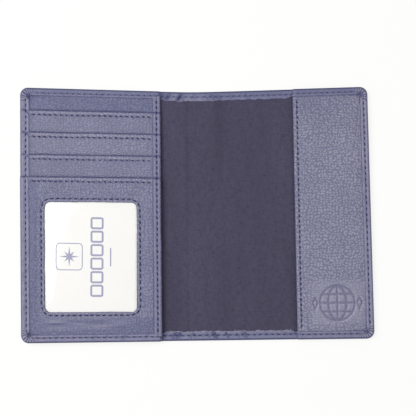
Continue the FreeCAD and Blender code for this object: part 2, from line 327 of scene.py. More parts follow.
def half_outline(inset):
    """Half of the outline, drawn in by inset, from the top of the spine round to its bottom, as x and y."""
    radius = max(CORNER - inset, LEAST_CORNER)
    far_x, far_y = HALF_WIDTH - inset - radius, HALF_HEIGHT - inset - radius
    run = far_x * TOP_PHASE / TOP_STITCHES
    turn = np.linspace(0, math.pi / 2, CORNER_RUN + 1)
    rise = far_y * (1 - 2 * SIDE_PHASE / SIDE_STITCHES)
    out, back = far_x + radius * np.sin(turn), far_x + radius * np.cos(turn)
    xs = [run, out, 0 * rise + far_x + radius, back, run[::-1]]
    ys = [0 * run + far_y + radius, far_y + radius * np.cos(turn), rise, -far_y - radius * np.sin(turn)]
    ys.append(0 * run - far_y - radius)
    return np.stack([joined(*xs), joined(*ys)], -1)


def seam_phase():
    """Stitches passed at each point of the half outline. Whole numbers are needle holes."""
    corner = np.arange(CORNER_RUN + 1) / CORNER_RUN
    side = TOP_STITCHES + 1 + SIDE_PHASE
    bottom = side[-1] + 1 + TOP_STITCHES - TOP_PHASE[::-1]
    return joined(TOP_PHASE, TOP_STITCHES + corner, side, side[-1] + corner, bottom)


def drawn_in(insets):
    """The half outline with each of its points drawn in by its own inset."""
    least, most = half_outline(insets.min()), half_outline(insets.max())
    share = (insets - insets.min()) / max(np.ptp(insets), 1e-9)
    return least + (most - least) * share[:, None]


def corner_fan(line):
    """Folds that fan out from each corner, at points of x and y: height, and how much painted shade lies
    there, in the valleys and in the inner corner.
    """
    across, up = np.abs(line[:, 0]) - HALF_WIDTH + FAN_CENTRE, np.abs(line[:, 1]) - HALF_HEIGHT + FAN_CENTRE
    turn = np.degrees(np.arctan2(up, across))
    near = smooth((turn + 38) / 22) * smooth((128 - turn) / 22) * smooth((8.5 - np.hypot(across, up)) / 2)
    uneven = turn + 5 * wander(turn, np.sign(line[:, 1]) * 7.0 + 0 * turn, 25, 16)
    ridge = np.abs(np.sin(np.radians(uneven) * 180 / PLEAT))
    tuck = bell(np.hypot(across - 0.8, up - 0.8), 1.5)
    arms = bell(np.minimum(across, up) - 0.9, 0.35**0.5) * smooth((1 - np.maximum(-across, -up)) / 4.5)
    return ridge * near, np.maximum.reduce([bell(ridge, 0.62) * near, tuck, 0.6 * arms])


def by_edge(x, y, values):
    """A value for each of the four edges, blended round the corners."""
    along_side = smooth(0.5 + (np.abs(x) - HALF_WIDTH - np.abs(y) + HALF_HEIGHT) / 12)
    side = np.where(x < 0, values["left"], values["right"])
    end = np.where(y > 0, values["top"], values["bottom"])
    return end + (side - end) * along_side


def rim_width(x, y):
    """How far the turned rim reaches in from the outline, to its ragged raw edge."""
    ragged = 0.34 * wander(x, y, 2.2, 11) + 0.2 * wander(x, y, 0.8, 12)
    extra = by_edge(x, y, {"left": RIM_LEFT - RIM_ON_PANEL, "right": 0, "top": 0, "bottom": 0})
    loose = over_lining(x) * (RIM_ON_LINING - RIM_ON_PANEL + ragged)
    return RIM_ON_PANEL + extra + loose + 0.05 * wander(x, y, 6, 13)


def frayed(x, y):
    """How much pale flesh shows at the raw edge: all along the bottom, and near the spine along the top."""
    shows = (y < 0) + (y > 0) * bell(x + 2, 15)
    return over_lining(x) * shows * (0.6 + 0.4 * wander(x, y, 1.6, 15))


def rim_facts(side):
    """What varies along the rim, at each point of the outline."""
    x, y = (half_outline(0) * [side, 1]).T
    ground = seat(x, y)
    return SimpleNamespace(
        x=x,
        y=y,
        ground=ground,
        wide=rim_width(x, y),
        seam=by_edge(x, y, SEAMS),
        hole=0.5 + 0.5 * np.cos(2 * math.pi * seam_phase()),
        nose_top=ground + 0.3 + 0.05 * wander(x, y, 9, 14),
        nose_dark=by_edge(x, y, NOSE_DARK),
        ridge=by_edge(x, y, RIDGE_HIGHLIGHT),
        # painted shade in each edge's seam groove
        sewn=by_edge(x, y, SEAM_GROOVE_SHADE),
        bare=over_lining(x),
    )


def row(inset, height, pressed=0.0, raw=0.0, worn=0.0, soft=0.0):
    """A line of points along the rim. soft is how far it takes part in the rim's folds."""
    return inset, height, pressed, raw, worn, soft


def outer_rows(rim):
    """Rows of the outer face, in to the nose."""
    rows = [row(PLATE_INSET, 0), row(5.6, 0)]
    rows += [row(rim.seam + inset, height) for inset, height in ((1.7, 0.01), (0.9, 0.05), (0.45, 0.14))]
    rows.append(row(rim.seam, 0.26 + 0.12 * rim.hole, 0.6 + 0.4 * rim.hole))
    return [*rows, row(rim.seam - 0.4, 0.2 + 0.03 * rim.hole, 0.2)]


def nose_rows(rim):
    """Rows round the nose, with painted shade below and a painted highlight towards its top."""
    rows = []
    for angle in np.radians(np.linspace(-80, 80, 13)):
        out = NOSE * (1 - math.cos(angle) ** 0.8)
        share = 0.5 + 0.5 * math.copysign(abs(math.sin(angle)) ** 0.75, angle)
        lit = float(smooth((out - 0.7) / 0.6)) * (angle > 0)
        height = 0.12 + (rim.nose_top - 0.12) * share
        rows.append(row(out, height, rim.nose_dark * (1 - lit), worn=0.8 * rim.ridge * lit, soft=lit))
    return rows


def turned_rows(rim):
    """Rows over the turned rim, across its seam and round its raw edge."""
    ground, hole, bare, ridge, sewn = rim.ground, rim.hole, rim.bare, rim.ridge, rim.sewn
    outer, inner = rim.seam - NOSE, rim.wide - rim.seam
    pale = frayed(rim.x, rim.y)
    # painted shade along and under the raw edge, strongest where it lies on the lining
    raw_edge_shade = 0.25 + 0.65 * bare
    return [
        row(NOSE + 0.12 * outer, ground + 0.26 - 0.02 * hole, worn=ridge, soft=1),
        row(NOSE + 0.56 * outer, ground + 0.14 - 0.04 * hole, 0.4 * sewn, worn=0.5 * ridge, soft=1),
        row(rim.seam, ground + 0.04 - 0.12 * hole, sewn + 0.2 * hole**2, soft=1),
        row(rim.seam + 0.16 * inner, ground + 0.16 - 0.04 * hole, 0.5 * sewn, worn=0.3 * ridge, soft=1),
        row(rim.seam + 0.32 * inner, ground + 0.32, worn=0.2 + 0.6 * ridge, soft=1),
        row(rim.seam + 0.54 * inner, ground + 0.40 + 0.06 * bare, worn=0.4 + 0.6 * ridge, soft=1),
        row(rim.seam + 0.77 * inner, ground + 0.32 + 0.14 * bare, worn=0.5 + 0.2 * ridge, soft=0.9),
        row(rim.wide - 0.14, ground + 0.2 + 0.2 * bare, 0.5 * raw_edge_shade * (1 - pale), 0.8 * pale, soft=0.6),
        row(rim.wide, ground + 0.1 + 0.16 * bare, raw_edge_shade * (1 - pale), pale, soft=0.3),
        row(rim.wide, ground + 0.04, raw_edge_shade, 0.3 * pale),
    ]


def tucked_rows(rim):
    """Rows back under the rim, round the layers' edges and over the inner face."""
    return [
        row(rim.wide - 0.4, rim.ground + 0.02, 1.0),
        row(3.0, rim.ground - 0.25),
        row(1.6, rim.nose_top - 0.75),
        row(0.8, 0.45 * rim.nose_top),
        row(1.7, COVER_TOP),
        row(PLATE_INSET, COVER_TOP),
    ]


def rim_profile(side):
    """Rows of the cover's section at each point of the outline, from the outer face round the nose to the raw
    edge and back inside: x, y, height, and marks for painted shade, raw leather and painted highlight."""
    rim = rim_facts(side)
    none = 0 * rim.x
    step_shade = step_shade_lines(rim.x, rim.y)
    rows = []
    for inset, height, pressed, raw, worn, soft in [
        *outer_rows(rim),
        *nose_rows(rim),
        *turned_rows(rim),
        *tucked_rows(rim),
    ]:
        line = drawn_in(inset + none) * [side, 1]
        fold, valley = corner_fan(line)
        folds = gathers(line[:, 0], line[:, 1]) * soft
        # dark is painted shade: the rows' own, along the layers' steps, in the corner folds' valleys and in
        # the gathers' troughs. light is painted highlight: the rows' own, on the corner folds' ridges and on
        # the gathers' crests.
        dark = np.maximum.reduce([pressed + none, step_shade * soft, valley * soft, -2.2 * folds])
        light = np.maximum.reduce([worn + none, 3.0 * fold * soft, 2.2 * folds]) * (1 - dark)
        lifted = height + GATHER * folds + PLEAT_RISE * fold * soft
        rows.append(np.column_stack([line, lifted + none, dark, raw + none, light]))
    return np.array(rows)


def plate_points():
    """Indices of the half outline's points that the inner net keeps: all of them beside the spine, then every
    fourth along the straight runs and every third round a corner."""
    near = 20
    side_start = TOP_RUN + CORNER_RUN
    half = [*range(near), *range(near, TOP_RUN, 4), *range(TOP_RUN, side_start, 3)]
    half += range(side_start, side_start + SIDE_RUN // 2, 4)
    last = 2 * side_start + SIDE_RUN
    return half + [last // 2] + [last - i for i in reversed(half)]


def plate(height, start, side):
    """Fills the half outline's inner loop: a border of many-sided faces, then a net of quads. height is a
    function of x and y, and start is the number of the first new point."""
    kept = plate_points()
    loop = half_outline(PLATE_INSET)
    inner = half_outline(PLATE_INSET + PLATE_BORDER)[kept]
    inner[[0, -1], 0] = 0
    columns = sum(i < TOP_RUN for i in kept[: len(kept) // 2]) + CORNER_RUN // 6
    rows = len(kept) - 1 - 2 * columns
    top, bottom = inner[: columns + 1], inner[::-1][: columns + 1]
    side_line = inner[columns : columns + rows + 1]
    u = (top[:, 0] / top[-1, 0])[None, :, None]
    v = ((side_line[0, 1] - side_line[:, 1]) / (side_line[0, 1] - side_line[-1, 1]))[:, None, None]
    middle = top[0] * (1 - v[:, 0]) + bottom[0] * v[:, 0]
    ruled = (1 - v) * top[None] + v * bottom[None] + (1 - u) * middle[:, None] + u * side_line[:, None]
    corners = (1 - u) * ((1 - v) * top[0] + v * bottom[0]) + u * ((1 - v) * top[-1] + v * bottom[-1])
    net = (ruled - corners).reshape(-1, 2)
    spread = np.concatenate([loop, inner, net]) * [side, 1]
    ring = start + len(loop)
    faces = []
    for k, (a, b) in enumerate(zip(kept, kept[1:])):
        faces.append((*range(start + a, start + b + 1), ring + k + 1, ring + k))
    faces += grid_faces(rows + 1, columns + 1, ring + len(inner))
    return np.column_stack([spread, height(spread[:, 0], spread[:, 1])]), faces


def outer_face(x, y):
    """Height of the outer leather's face: shallow grooves where it creases beside the spine."""
    return 0.22 * bell(np.abs(x) - CREASE, 0.8)


def rim_shade(x, y):
    """Deeper colour along the top and the bottom, most of all over the lining."""
    end = smooth((np.abs(y) - HALF_HEIGHT + 7) / 2)
    return end * np.where(y > 0, 0.36 + 0.04 * over_lining(x), 0.08 + 0.2 * over_lining(x))


def cover_half(side):
    """Outer leather and turned rim of the left (-1) or right (+1) half."""
    profile = rim_profile(side)
    rows, columns, _ = profile.shape
    faces = grid_faces(rows, columns)
    strip, marks = profile[..., :3].reshape(-1, 3), profile[..., 3:].reshape(-1, 3)
    near_floor = smooth((0.6 - strip[:, 2]) / 0.6)
    strip[:, 2] += outer_face(strip[:, 0], strip[:, 1]) * near_floor
    points = [strip]
    for height in (outer_face, flat(COVER_TOP)):
        net, net_faces = plate(height, sum(map(len, points)), side)
        faces += net_faces
        points.append(net)
        marks = np.concatenate([marks, np.zeros((len(net), 3))])
    found = np.concatenate(points)
    shade = rim_shade(found[:, 0], found[:, 1])
    calm = 0.45 * (found[:, 2] > COVER_TOP)
    shown = {"pressed": marks[:, 0], "raw": marks[:, 1], "worn": marks[:, 2] * (1 - shade)}
    made = add_mesh(f"cover_leather_{WORD[side]}", found, faces, **shown, calm=calm, shade=shade)
    return tidy(made, capped=True)


FIBRES = 420


def fibre(x, y, edge, aim, length, curl, thick):
    """Points of one fibre: four rings of three, thinner towards the tip."""
    points = []
    for s in (0.0, 0.35, 0.7, 1.0):
        heading, reach, r = aim + curl * s, length * s, thick * (1 - 0.6 * s)
        at_x, at_y = x + reach * math.sin(heading), y * (edge + 0.35 - reach * math.cos(heading))
        at_z = LINING_TOP + 0.32 - 0.16 * s + thick
        points += [(at_x + r * math.cos(a), at_y, at_z + r * math.sin(a)) for a in (0.5, 2.6, 4.7)]
    return points


def raw_fibres(side):
    """Loose fibres of pale flesh that stand out of the raw edge on to the lining."""
    random = np.random.default_rng(77 + side)
    x = side * random.uniform(0.6, HALF_WIDTH, FIBRES)
    y = np.where(random.uniform(size=FIBRES) < 0.68, -1.0, 1.0)
    shows = frayed(x, y * HALF_HEIGHT) > random.uniform(0.1, 0.9, FIBRES)
    x, y = x[shows], y[shows]
    edge = HALF_HEIGHT - rim_width(x, y * HALF_HEIGHT)
    spans = ((-1.2, 1.2), (0.5, 1.5), (-1.5, 1.5), (0.035, 0.07))  # aim, length, curl and thickness
    drawn = [random.uniform(least, most, len(x)) for least, most in spans]
    points = [point for values in zip(x, y, edge, *drawn) for point in fibre(*values)]
    faces = [face for k in range(len(x)) for face in tube_faces(4, 3, 12 * k)]
    return tidy(add_mesh(f"raw_edge_fibres_{WORD[side]}", points, faces), weld=False)


# Lining


def lining_top(x, y):
    """Cloth laid flat, with soft ripples along the spine and pushed-in fold lines beside it."""
    ripple = 0.05 * wander(x, y * 0.16, 7, 21) + 0.03 * wander(x, y * 0.3, 3, 22)
    pull = 0.08 * wander(x, y * 0.4, 2.4, 23) * smooth((np.abs(y) - 52) / 14)
    folds = -0.12 * bell(x + CREASE - 0.6, 0.9) - 0.07 * bell(x - 11.5, 2.4)
    rise = over_lining(x) * ((ripple + pull) * smooth(np.abs(x) / 1.5) + folds + 0.04)
    return LINING_TOP + np.maximum(rise, LINING_FLOOR - LINING_TOP)


def lining_shade(x, y):
    """Painted shade: faint darker bands where the cloth has been folded beside the spine."""
    line = 0.30 * bell(x + 4.9, 0.8)
    band = 0.35 * bell(x - 13, 2.6) * smooth((y + 10) / 60)
    cloud = 0.26 * wander(x, y * 0.12, 10, 24) + 0.12 * wander(x, y * 0.15, 3, 25)
    return np.clip(0.2 + line + band + cloud, 0, 1)


def lining_half(side):
    """Cloth of one half, from the middle of the spine to under the turned rim."""
    fine = abs(PANEL_EDGE - 8 if side < 0 else FLAP_EDGE + 6)
    xs = joined(spaced(0, fine, 0.8), spaced(fine, TUCKED_X, 3.0)) * side
    ys = spaced(-TUCKED_Y, TUCKED_Y, 1.1)
    floor = flat(LINING_FLOOR - 0.02)
    return grid_sheet(f"lining_cloth_{WORD[side]}", xs, ys, lining_top, floor, shade=lining_shade)


# Left panel

LEAF_LEFT, LEAF_RIGHT = -TUCKED_X, PANEL_EDGE - 1.2
RIM_INNER = RIM_LEFT - HALF_WIDTH
SEWN_RUN = (RIM_INNER + 0.9, BINDING_LEFT - 0.6)  # x from the first to the last needle hole of a slot's row
SEWN_STITCHES = round((SEWN_RUN[1] - SEWN_RUN[0]) / SLOT_PITCH)
HEM = 6.0  # width of a turned mouth
UNDER_CARD = 0.33  # the last slot's leaf lies flatter, since the card slides out over it
SUNK = 0.44  # and its row of stitches lies this much deeper, in a groove
LEAF_SHADE = [0.12, 0.1, 0.0, 0.1]

# Height of a turned and sewn mouth above its leaf, by distance from the fold
MOUTH_AT = [0.0, 0.05, 0.15, 0.35, 0.7, 1.2, 1.7, 2.1, 2.4, 2.7, 3.1, 3.8, 5.0, 5.8, 6.3, 7.0, 8.5]
MOUTH_RISE = [-0.1, 0.04, 0.14, 0.22, 0.27, 0.27, 0.2, 0.06, -0.04]
MOUTH_RISE += [0.05, 0.12, 0.15, 0.14, 0.12, 0.05, 0.01, 0.0]


def leaf_columns():
    """x of the panel's points, in step with the slots' stitches."""
    sewn = np.linspace(*SEWN_RUN, 4 * SEWN_STITCHES + 1)
    return joined(spaced(LEAF_LEFT, SEWN_RUN[0], 0.6), sewn, spaced(SEWN_RUN[1], LEAF_RIGHT, 0.8))


def held(x):
    """1 in the open part of the panel, 0 where the rim and the binding hold it down."""
    return smooth((x - RIM_INNER) / 3.5) * smooth((BINDING_LEFT - x) / 3.5)


def needle(along, pitch):
    """1 at the needle holes of a row of stitches, 0 halfway between them."""
    return 0.5 + 0.5 * np.cos(2 * math.pi * along / pitch)


def slot_hole(x):
    return needle(x - SEWN_RUN[0], (SEWN_RUN[1] - SEWN_RUN[0]) / SEWN_STITCHES)


def mouth_line(x, i):
    """y of mouth i, which is never quite straight."""
    sag = 0.12 * wander(x, 0 * x + 9.0 * i, 16, 31) + 0.05 * wander(x, 0 * x + 5.0 * i, 4, 32)
    return MOUTHS[i] + sag * held(x)


def mouth_height(x, below):
    """Relief of a mouth at a distance below its fold, with a dimple at each needle hole."""
    relief = np.interp(below, MOUTH_AT, MOUTH_RISE)
    dimple = -0.14 * slot_hole(x) * bell(below - SLOT_SEAM, 0.5)
    return relief * (0.25 + 0.75 * held(x)) + dimple * held(x)


def sewing_shade(below, hole):
    """Painted shade in the seam's groove, at its needle holes, and round the fold of a mouth."""
    groove = (0.2 + 0.25 * hole**3) * bell(below - SLOT_SEAM, 0.4)
    return np.maximum(groove, 1 - smooth((below - 0.1) / 0.4))


def hem_highlight(below):
    """Painted highlight on the swelling of a turned mouth."""
    return 0.7 * smooth((below - 0.3) / 0.5) * smooth((2.1 - below) / 0.5)


def under_rim(x, y):
    """Shade where a piece goes under the rim or the binding, deepest in the panel's corners."""
    side = np.abs(np.abs(x) - HALF_WIDTH + np.where(x < 0, RIM_LEFT, RIM_ON_PANEL))
    end = np.abs(np.abs(y) - HALF_HEIGHT + RIM_ON_PANEL)
    corner = bell(np.hypot(side, end), 5.5)
    at_rim = bell(np.minimum(side, end), 0.35 + 0.35 * corner) * (0.4 + 0.6 * corner)
    return np.maximum(at_rim, 0.8 * bell(x - BINDING_LEFT, 0.35))


def pillow(x, y, bottom, top, rise):
    """Soft swell of a leaf between two heights up the panel."""
    return rise * held(x) * smooth((y - bottom) / 3) * smooth((top - y) / 3)


def leaf_surfaces(i, x, y, below, upper):
    """Top and underside of leaf i, and the gap where the next leaf's mouth lies on it: a dip, darkened with
    painted shade.
    """
    relief = UNDER_CARD if i == 3 else 1.0
    loose = smooth((y - MOUTHS[i]) / 3)
    base = STEPS[i] + pillow(x, y, MOUTHS[i] + 0.4, upper - 1.5, 0.16 * relief)
    base = base + 0.05 * relief * wander(x, y, 5, 40 + i) * held(x) * loose
    gap = bell(y - mouth_line(x, i) - 0.15, 0.5)
    top, bottom = base - 0.25 * gap * held(x), base - LEAF
    if i:
        top = top + relief * mouth_height(x, below)
        bottom = np.where(below < HEM, base - LEAF + 0.06, base - LEAF) + 0.22 * (1 - smooth(below / 0.3))
    if i == 3:
        top = top - 0.3 * bell(below - SLOT_SEAM, 0.55) * held(x)
    return top, bottom, gap


def leaf(i):
    """Leaf i of the card slots: 0 is the header under the top rim."""
    upper = MOUTHS[i - 1] if i else TUCKED_Y
    depth = upper - (MOUTHS[i] - HEM)
    at = spaced(0, depth, 0.4)
    if i:
        at = np.array([t for t in MOUTH_AT if t < depth] + list(spaced(MOUTH_AT[-1] + 0.4, depth, 0.4)))
    columns = leaf_columns()
    x, below = (a.ravel() for a in np.meshgrid(columns, at))
    y = (mouth_line(x, i - 1) if i else upper) - below
    top, bottom, gap = leaf_surfaces(i, x, y, below, upper)
    pressed = np.maximum(gap, under_rim(x, y))
    if i:
        pressed = np.maximum(pressed, sewing_shade(below, slot_hole(x)))
    worn = hem_highlight(below) * bool(i)
    shade = LEAF_SHADE[i] + 0.25 * (1 - smooth((x - RIM_INNER) / 4))
    faces = [f[::-1] for f in grid_faces(len(at), len(columns))]
    name = f"slot_leaf_{i}" if i else "header_leaf"
    return sheet(name, x, y, top, bottom, faces, pressed=pressed, worn=worn, shade=shade)


def tongue(i):
    """Thin cloth that closes the pocket behind leaf i."""
    node = f"slot_tongue_{i}"
    z = high(node, Z)
    xs, ys = spaced(LEAF_LEFT, LEAF_RIGHT, 3), spaced(low(node, Y), high(node, Y), 3)
    return grid_sheet(f"pocket_cloth_{i}", xs, ys, flat(z), flat(z - 0.15))


def backing():
    """Cloth that the panel's leaves are sewn to, the roof of the passport pocket."""
    xs, ys = spaced(LEAF_LEFT, LEAF_RIGHT, 1.5), spaced(-TUCKED_Y, TUCKED_Y, 1.5)

    def underside(x, y):
        return low("panel_backing", Z) + 0.02 + 0.015 * wander(x, y, 6, 51)

    return grid_sheet("panel_lining_cloth", xs, ys, flat(high("panel_backing", Z) - 0.01), underside)


# Window panel

WINDOW = [low("window_film", X) + WINDOW_MARGIN, high("window_film", X) - WINDOW_MARGIN]
WINDOW += [low("window_film", Y) + WINDOW_MARGIN, high("window_film", Y) - WINDOW_MARGIN]
FRAME_RINGS = [0.0, 0.05, 0.18, 0.4, 0.8, 1.3, 1.8, 2.3, 2.9, 3.8, 5.0]  # out from the window's edge
FRAME_RISE = [-0.12, 0.02, 0.12, 0.18, 0.2, 0.1, -0.04, 0.06, 0.12, 0.08, 0.02]
STRIP_DEPTH = 8.5
SIDE_POINTS = 96
HALF_CORNER = 7  # points in half of a window corner


def arc(centre, radius, angles):
    return np.stack([centre[0] + radius * np.cos(angles), centre[1] + radius * np.sin(angles)], -1)


def hole_path(outset):
    """Outline of the window, drawn out by outset, clockwise from the middle of its top left corner."""
    left, right, bottom, top = WINDOW
    r = WINDOW_CORNER + outset
    x0, x1, y0, y1 = left - outset + r, right + outset - r, bottom - outset + r, top + outset - r
    across = len(leaf_columns()) - 1
    sweep = np.linspace(0, math.pi / 4, HALF_CORNER + 1)
    runs = []
    for start, end, heading, count in (
        ((x0, y1), (x1, y1), math.pi / 2, across),
        ((x1, y1), (x1, y0), 0.0, SIDE_POINTS),
        ((x1, y0), (x0, y0), -math.pi / 2, across),
        ((x0, y0), (x0, y1), math.pi, SIDE_POINTS),
    ):
        first, last = arc(start, r, heading + math.pi / 4 - sweep), arc(end, r, heading - sweep)
        run = np.linspace(first[-1], last[0], count - 2 * HALF_CORNER + 1)
        runs += [first[:-1], run, last[1:-1]]
    return np.concatenate(runs)


def frame_border(columns):
    """Outer rectangle of the frame, with as many points a side as the hole's outline has."""
    upper, lower = MOUTHS[-1] - STRIP_DEPTH, -TUCKED_Y
    rise = np.linspace(upper, lower, SIDE_POINTS + 1)
    top = np.stack([columns, 0 * columns + upper], -1)[:-1]
    right = np.stack([0 * rise + columns[-1], rise], -1)[:-1]
    bottom = np.stack([columns[::-1], 0 * columns + lower], -1)[:-1]
    left = np.stack([0 * rise + columns[0], rise[::-1]], -1)[:-1]
    return np.concatenate([top, right, bottom, left])


def hole_distance(x, y):
    """How far a point is outside the window's edge."""
    left, right, bottom, top = WINDOW
    dx = np.abs(x - (left + right) / 2) - (right - left) / 2 + WINDOW_CORNER
    dy = np.abs(y - (bottom + top) / 2) - (top - bottom) / 2 + WINDOW_CORNER
    outside = np.hypot(np.maximum(dx, 0), np.maximum(dy, 0))
    return outside + np.minimum(np.maximum(dx, dy), 0) - WINDOW_CORNER


def below_window(x, y):
    """1 in the strip below the window, where the leather is smoother and lies in long fine creases."""
    return bell(y + 59.5, 3.6) * smooth((x + 92) / 10) * smooth((-32 - x) / 10)


def long_creases(x, y):
    return wander(x * 0.08, y, 1.0, 61) * below_window(x, y)


def frame_swell(x, y):
    """Lie of the window panel's leather away from its edges: a soft swell, and creases below the window."""
    away = smooth((hole_distance(x, y) - 3) / 3)
    free = held(x) * smooth((y + HALF_HEIGHT - RIM_ON_PANEL) / 3)
    return away * free * (0.12 + 0.06 * wander(x, y, 7, 62)) + 0.2 * long_creases(x, y) * free


def mouth_strip(columns, at):
    """The window panel's sewn mouth, as rows of x, y, rise, lift of the underside, painted shade and painted
    highlight.
    """
    x, below = (a.ravel() for a in np.meshgrid(columns, at))
    fade = smooth((STRIP_DEPTH - below) / 4)
    y = MOUTHS[-1] + (mouth_line(x, 3) - MOUTHS[-1]) * fade - below
    rise = mouth_height(x, below) + frame_swell(x, y)
    pressed = np.maximum(sewing_shade(below, slot_hole(x)), under_rim(x, y))
    turned = 0.06 * (below < HEM) + 0.22 * (1 - smooth(below / 0.3))
    return np.stack([x, y, rise, turned, pressed, hem_highlight(below)], -1)


def frame_ring(outset, lift):
    """Points round the window's turned and stitched edge, in rows as in mouth_strip."""
    path = hole_path(outset)
    x, y = path.T
    wobble = (0.18 * wander(x, y, 11, 63) + 0.07 * wander(x, y, 1.4, 64)) * math.exp(-outset)
    left, right, bottom, top = WINDOW
    out = path - [(left + right) / 2, (bottom + top) / 2]
    path = path + out / np.linalg.norm(out, axis=1)[:, None] * wobble[:, None]
    hole = needle(path_lengths(hole_path(WINDOW_SEAM)), WINDOW_PITCH)
    dimple = -0.14 * hole * bell(outset - WINDOW_SEAM, 0.4)
    below = outset + SLOT_SEAM - WINDOW_SEAM
    pressed = np.maximum(sewing_shade(below, hole), 1 - smooth(outset / 0.5))
    under = 0.2 * (1 - smooth(outset / 0.3)) + 0 * x
    return np.column_stack([path, lift + dimple, under, pressed, hem_highlight(below) + 0 * x])


def window_leaf():
    """Leather panel round the window: a sewn mouth along its top, and a turned and stitched hole."""
    columns = leaf_columns()
    at = [t for t in MOUTH_AT if t < STRIP_DEPTH] + [STRIP_DEPTH]
    strip = mouth_strip(columns, at)
    rings = [frame_ring(outset, lift) for outset, lift in zip(FRAME_RINGS, FRAME_RISE)]
    last, border = rings[-1][:, :2], frame_border(columns)
    for share in np.linspace(0, 1, 17)[1:]:
        ring = last * (1 - share) + border * share
        rise = FRAME_RISE[-1] * (1 - smooth(share * 2)) + frame_swell(*ring.T)
        rings.append(np.column_stack([ring, rise, 0 * rise, under_rim(*ring.T), 0 * rise]))
    faces = [f[::-1] for f in grid_faces(len(at), len(columns))]
    # A quad's first point sets its diagonal
    faces += [f[1:] + f[:1] for f in ring_faces(len(rings), len(border), len(strip))]
    return weld_sheet("window_leaf", np.concatenate([strip, *rings]), faces, STEPS[4])


def weld_sheet(name, found, faces, level):
    """A closed sheet from rows as in mouth_strip, once equal points are one."""
    keys = {}
    index = [keys.setdefault(tuple(np.round(row[:2], 4)), len(keys)) for row in found]
    kept = np.zeros((len(keys), found.shape[1]))
    for row, i in zip(found[::-1], index[::-1]):
        kept[i] = row
    faces = [tuple(index[i] for i in face) for face in faces]
    faces = [face for face in faces if len(set(face)) == len(face)]
    x, y, rise, under, pressed, worn = kept.T
    top = level + rise
    bottom = np.minimum(level - LEAF + under, top - 0.06)
    shade = 0.36 * np.maximum(smooth((WINDOW[0] - 2 - x) / 3), smooth((WINDOW[2] - 2 - y) / 3))
    crease = long_creases(x, y)
    # Painted shade in the troughs of the long creases and painted highlight on their crests.
    pressed, worn = np.maximum(pressed, -0.5 * crease), np.maximum(worn, 0.7 * crease)
    calm = 0.75 * below_window(x, y)
    return sheet(name, x, y, top, bottom, faces, pressed=pressed, worn=worn, shade=shade, calm=calm)


def film():
    """Clear window film, a little wavy, sewn in behind the frame."""
    node = "window_film"
    xs, ys = spaced(low(node, X), high(node, X), 1.5), spaced(low(node, Y), high(node, Y), 1.5)

    def surface(x, y):
        free = smooth(-hole_distance(x, y) / 6)
        return high(node, Z) - 0.02 + free * (0.05 + 0.06 * wander(x, y, 22, 71))

    return grid_sheet("clear_window_film", xs, ys, surface, lambda x, y: surface(x, y) - 0.1)


# Binding round the panel's inner edge

BINDING_SEAM = (BINDING_LEFT + PANEL_EDGE) / 2
BINDING_ROUND = 0.7  # radius of its outer edge


def binding_level(y):
    return panel_steps(y, 1.0) + BINDING_RISE


def binding_section(ys):
    """Rows of the binding's section, from the left over the top and round the outer edge to the underside:
    x, height and how much painted shade each has."""
    hole = needle(ys, BINDING_PITCH)
    top = binding_level(ys) + 0.03 * wander(ys, 0 * ys, 5, 81)
    edge = PANEL_EDGE + 0.08 * wander(ys, 0 * ys, 12, 82)
    left = BINDING_LEFT + 0.1 * wander(ys, 0 * ys, 6, 83)
    floor, r = low("panel_binding", Z), BINDING_ROUND
    over = [
        (left, top - 0.36, 0.6),
        (left + 0.08, top - 0.12, 0.6),
        (left + 0.4, top - 0.02, 0.2),
        (left + 1.1, top + 0.05, 0.0),
        (BINDING_SEAM - 0.5, top - 0.01, 0.2),
        (BINDING_SEAM, top - 0.16 - 0.1 * hole, 0.25 + 0.35 * hole**3),
        (BINDING_SEAM + 0.5, top - 0.01, 0.2),
        (BINDING_SEAM + 1.1, top + 0.04, 0.0),
    ]
    angles = np.radians(np.linspace(80, 0, 6))
    turned = [(edge - r + r * math.cos(a), top - r + r * math.sin(a), 0.2) for a in angles]
    under = [
        (edge, (top + floor) / 2, 0.3),
        (edge, floor + 0.35, 0.3),
        (edge - 0.12, floor + 0.1, 0.3),
        (edge - 0.4, floor, 0.2),
        (left, floor, 0.5),
        (left, floor + 0.3, 0.5),
        (edge - 0.5, floor + 0.3, 0.0),
        (edge - 0.5, top - 0.5, 0.0),
    ]
    return over + turned + under


def binding():
    """Leather strip folded round the panel's inner edge, over its steps."""
    ys = spaced(-TUCKED_Y, TUCKED_Y, BINDING_PITCH / 4)
    section = binding_section(ys)
    points = np.array([np.stack([x + 0 * ys, ys, z + 0 * ys], -1) for x, z, _ in section])
    steps = step_shade_lines(BINDING_LEFT + 0 * ys, ys)
    pressed = np.concatenate([np.maximum(mark, steps) for _, _, mark in section])
    rows, n = len(section), len(ys)
    faces = grid_faces(rows, n, wrap=True)
    faces += [tuple(range(0, rows * n, n)), tuple(range(rows * n - 1, 0, -n))]
    # Painted highlight on the binding, fading where it has painted shade.
    worn = 0.7 * (1 - pressed) ** 3
    return tidy(add_mesh("panel_binding_strip", points.reshape(-1, 3), faces, pressed=pressed, worn=worn))


# Flap

FLAP_SEAM = FLAP_EDGE + SLOT_SEAM
FLAP_CLOTH_EDGE = FLAP_EDGE + 8
EMBLEM = (77.8, -50.0)
EMBLEM_R = 9.6
EMBLEM_LINE = 0.6
MERIDIAN = 0.52  # half width of the globe's curved meridian, as a share of its radius


def emblem_depth(x, y):
    """Pressed-in mark: a plain globe of a ring, its meridians and parallels, between two lozenges."""
    u, v = (x - EMBLEM[0]) / EMBLEM_R, (y - EMBLEM[1]) / EMBLEM_R
    radius = np.hypot(u, v)
    net = [np.abs(u) * EMBLEM_R, np.abs(np.hypot(u / MERIDIAN, v) - 1) * MERIDIAN * EMBLEM_R * 0.8]
    net += [np.abs(v - latitude) * EMBLEM_R for latitude in (-0.5, 0.0, 0.5)]
    lines = [np.abs(radius - 1) * EMBLEM_R, *(np.where(radius < 1.0, line, 9.0) for line in net)]
    lines += [np.abs(np.abs(u - way * 1.28) / 0.14 + np.abs(v) / 0.3 - 1) * 1.4 for way in (-1, 1)]
    return bell(np.min(lines, axis=0), EMBLEM_LINE)


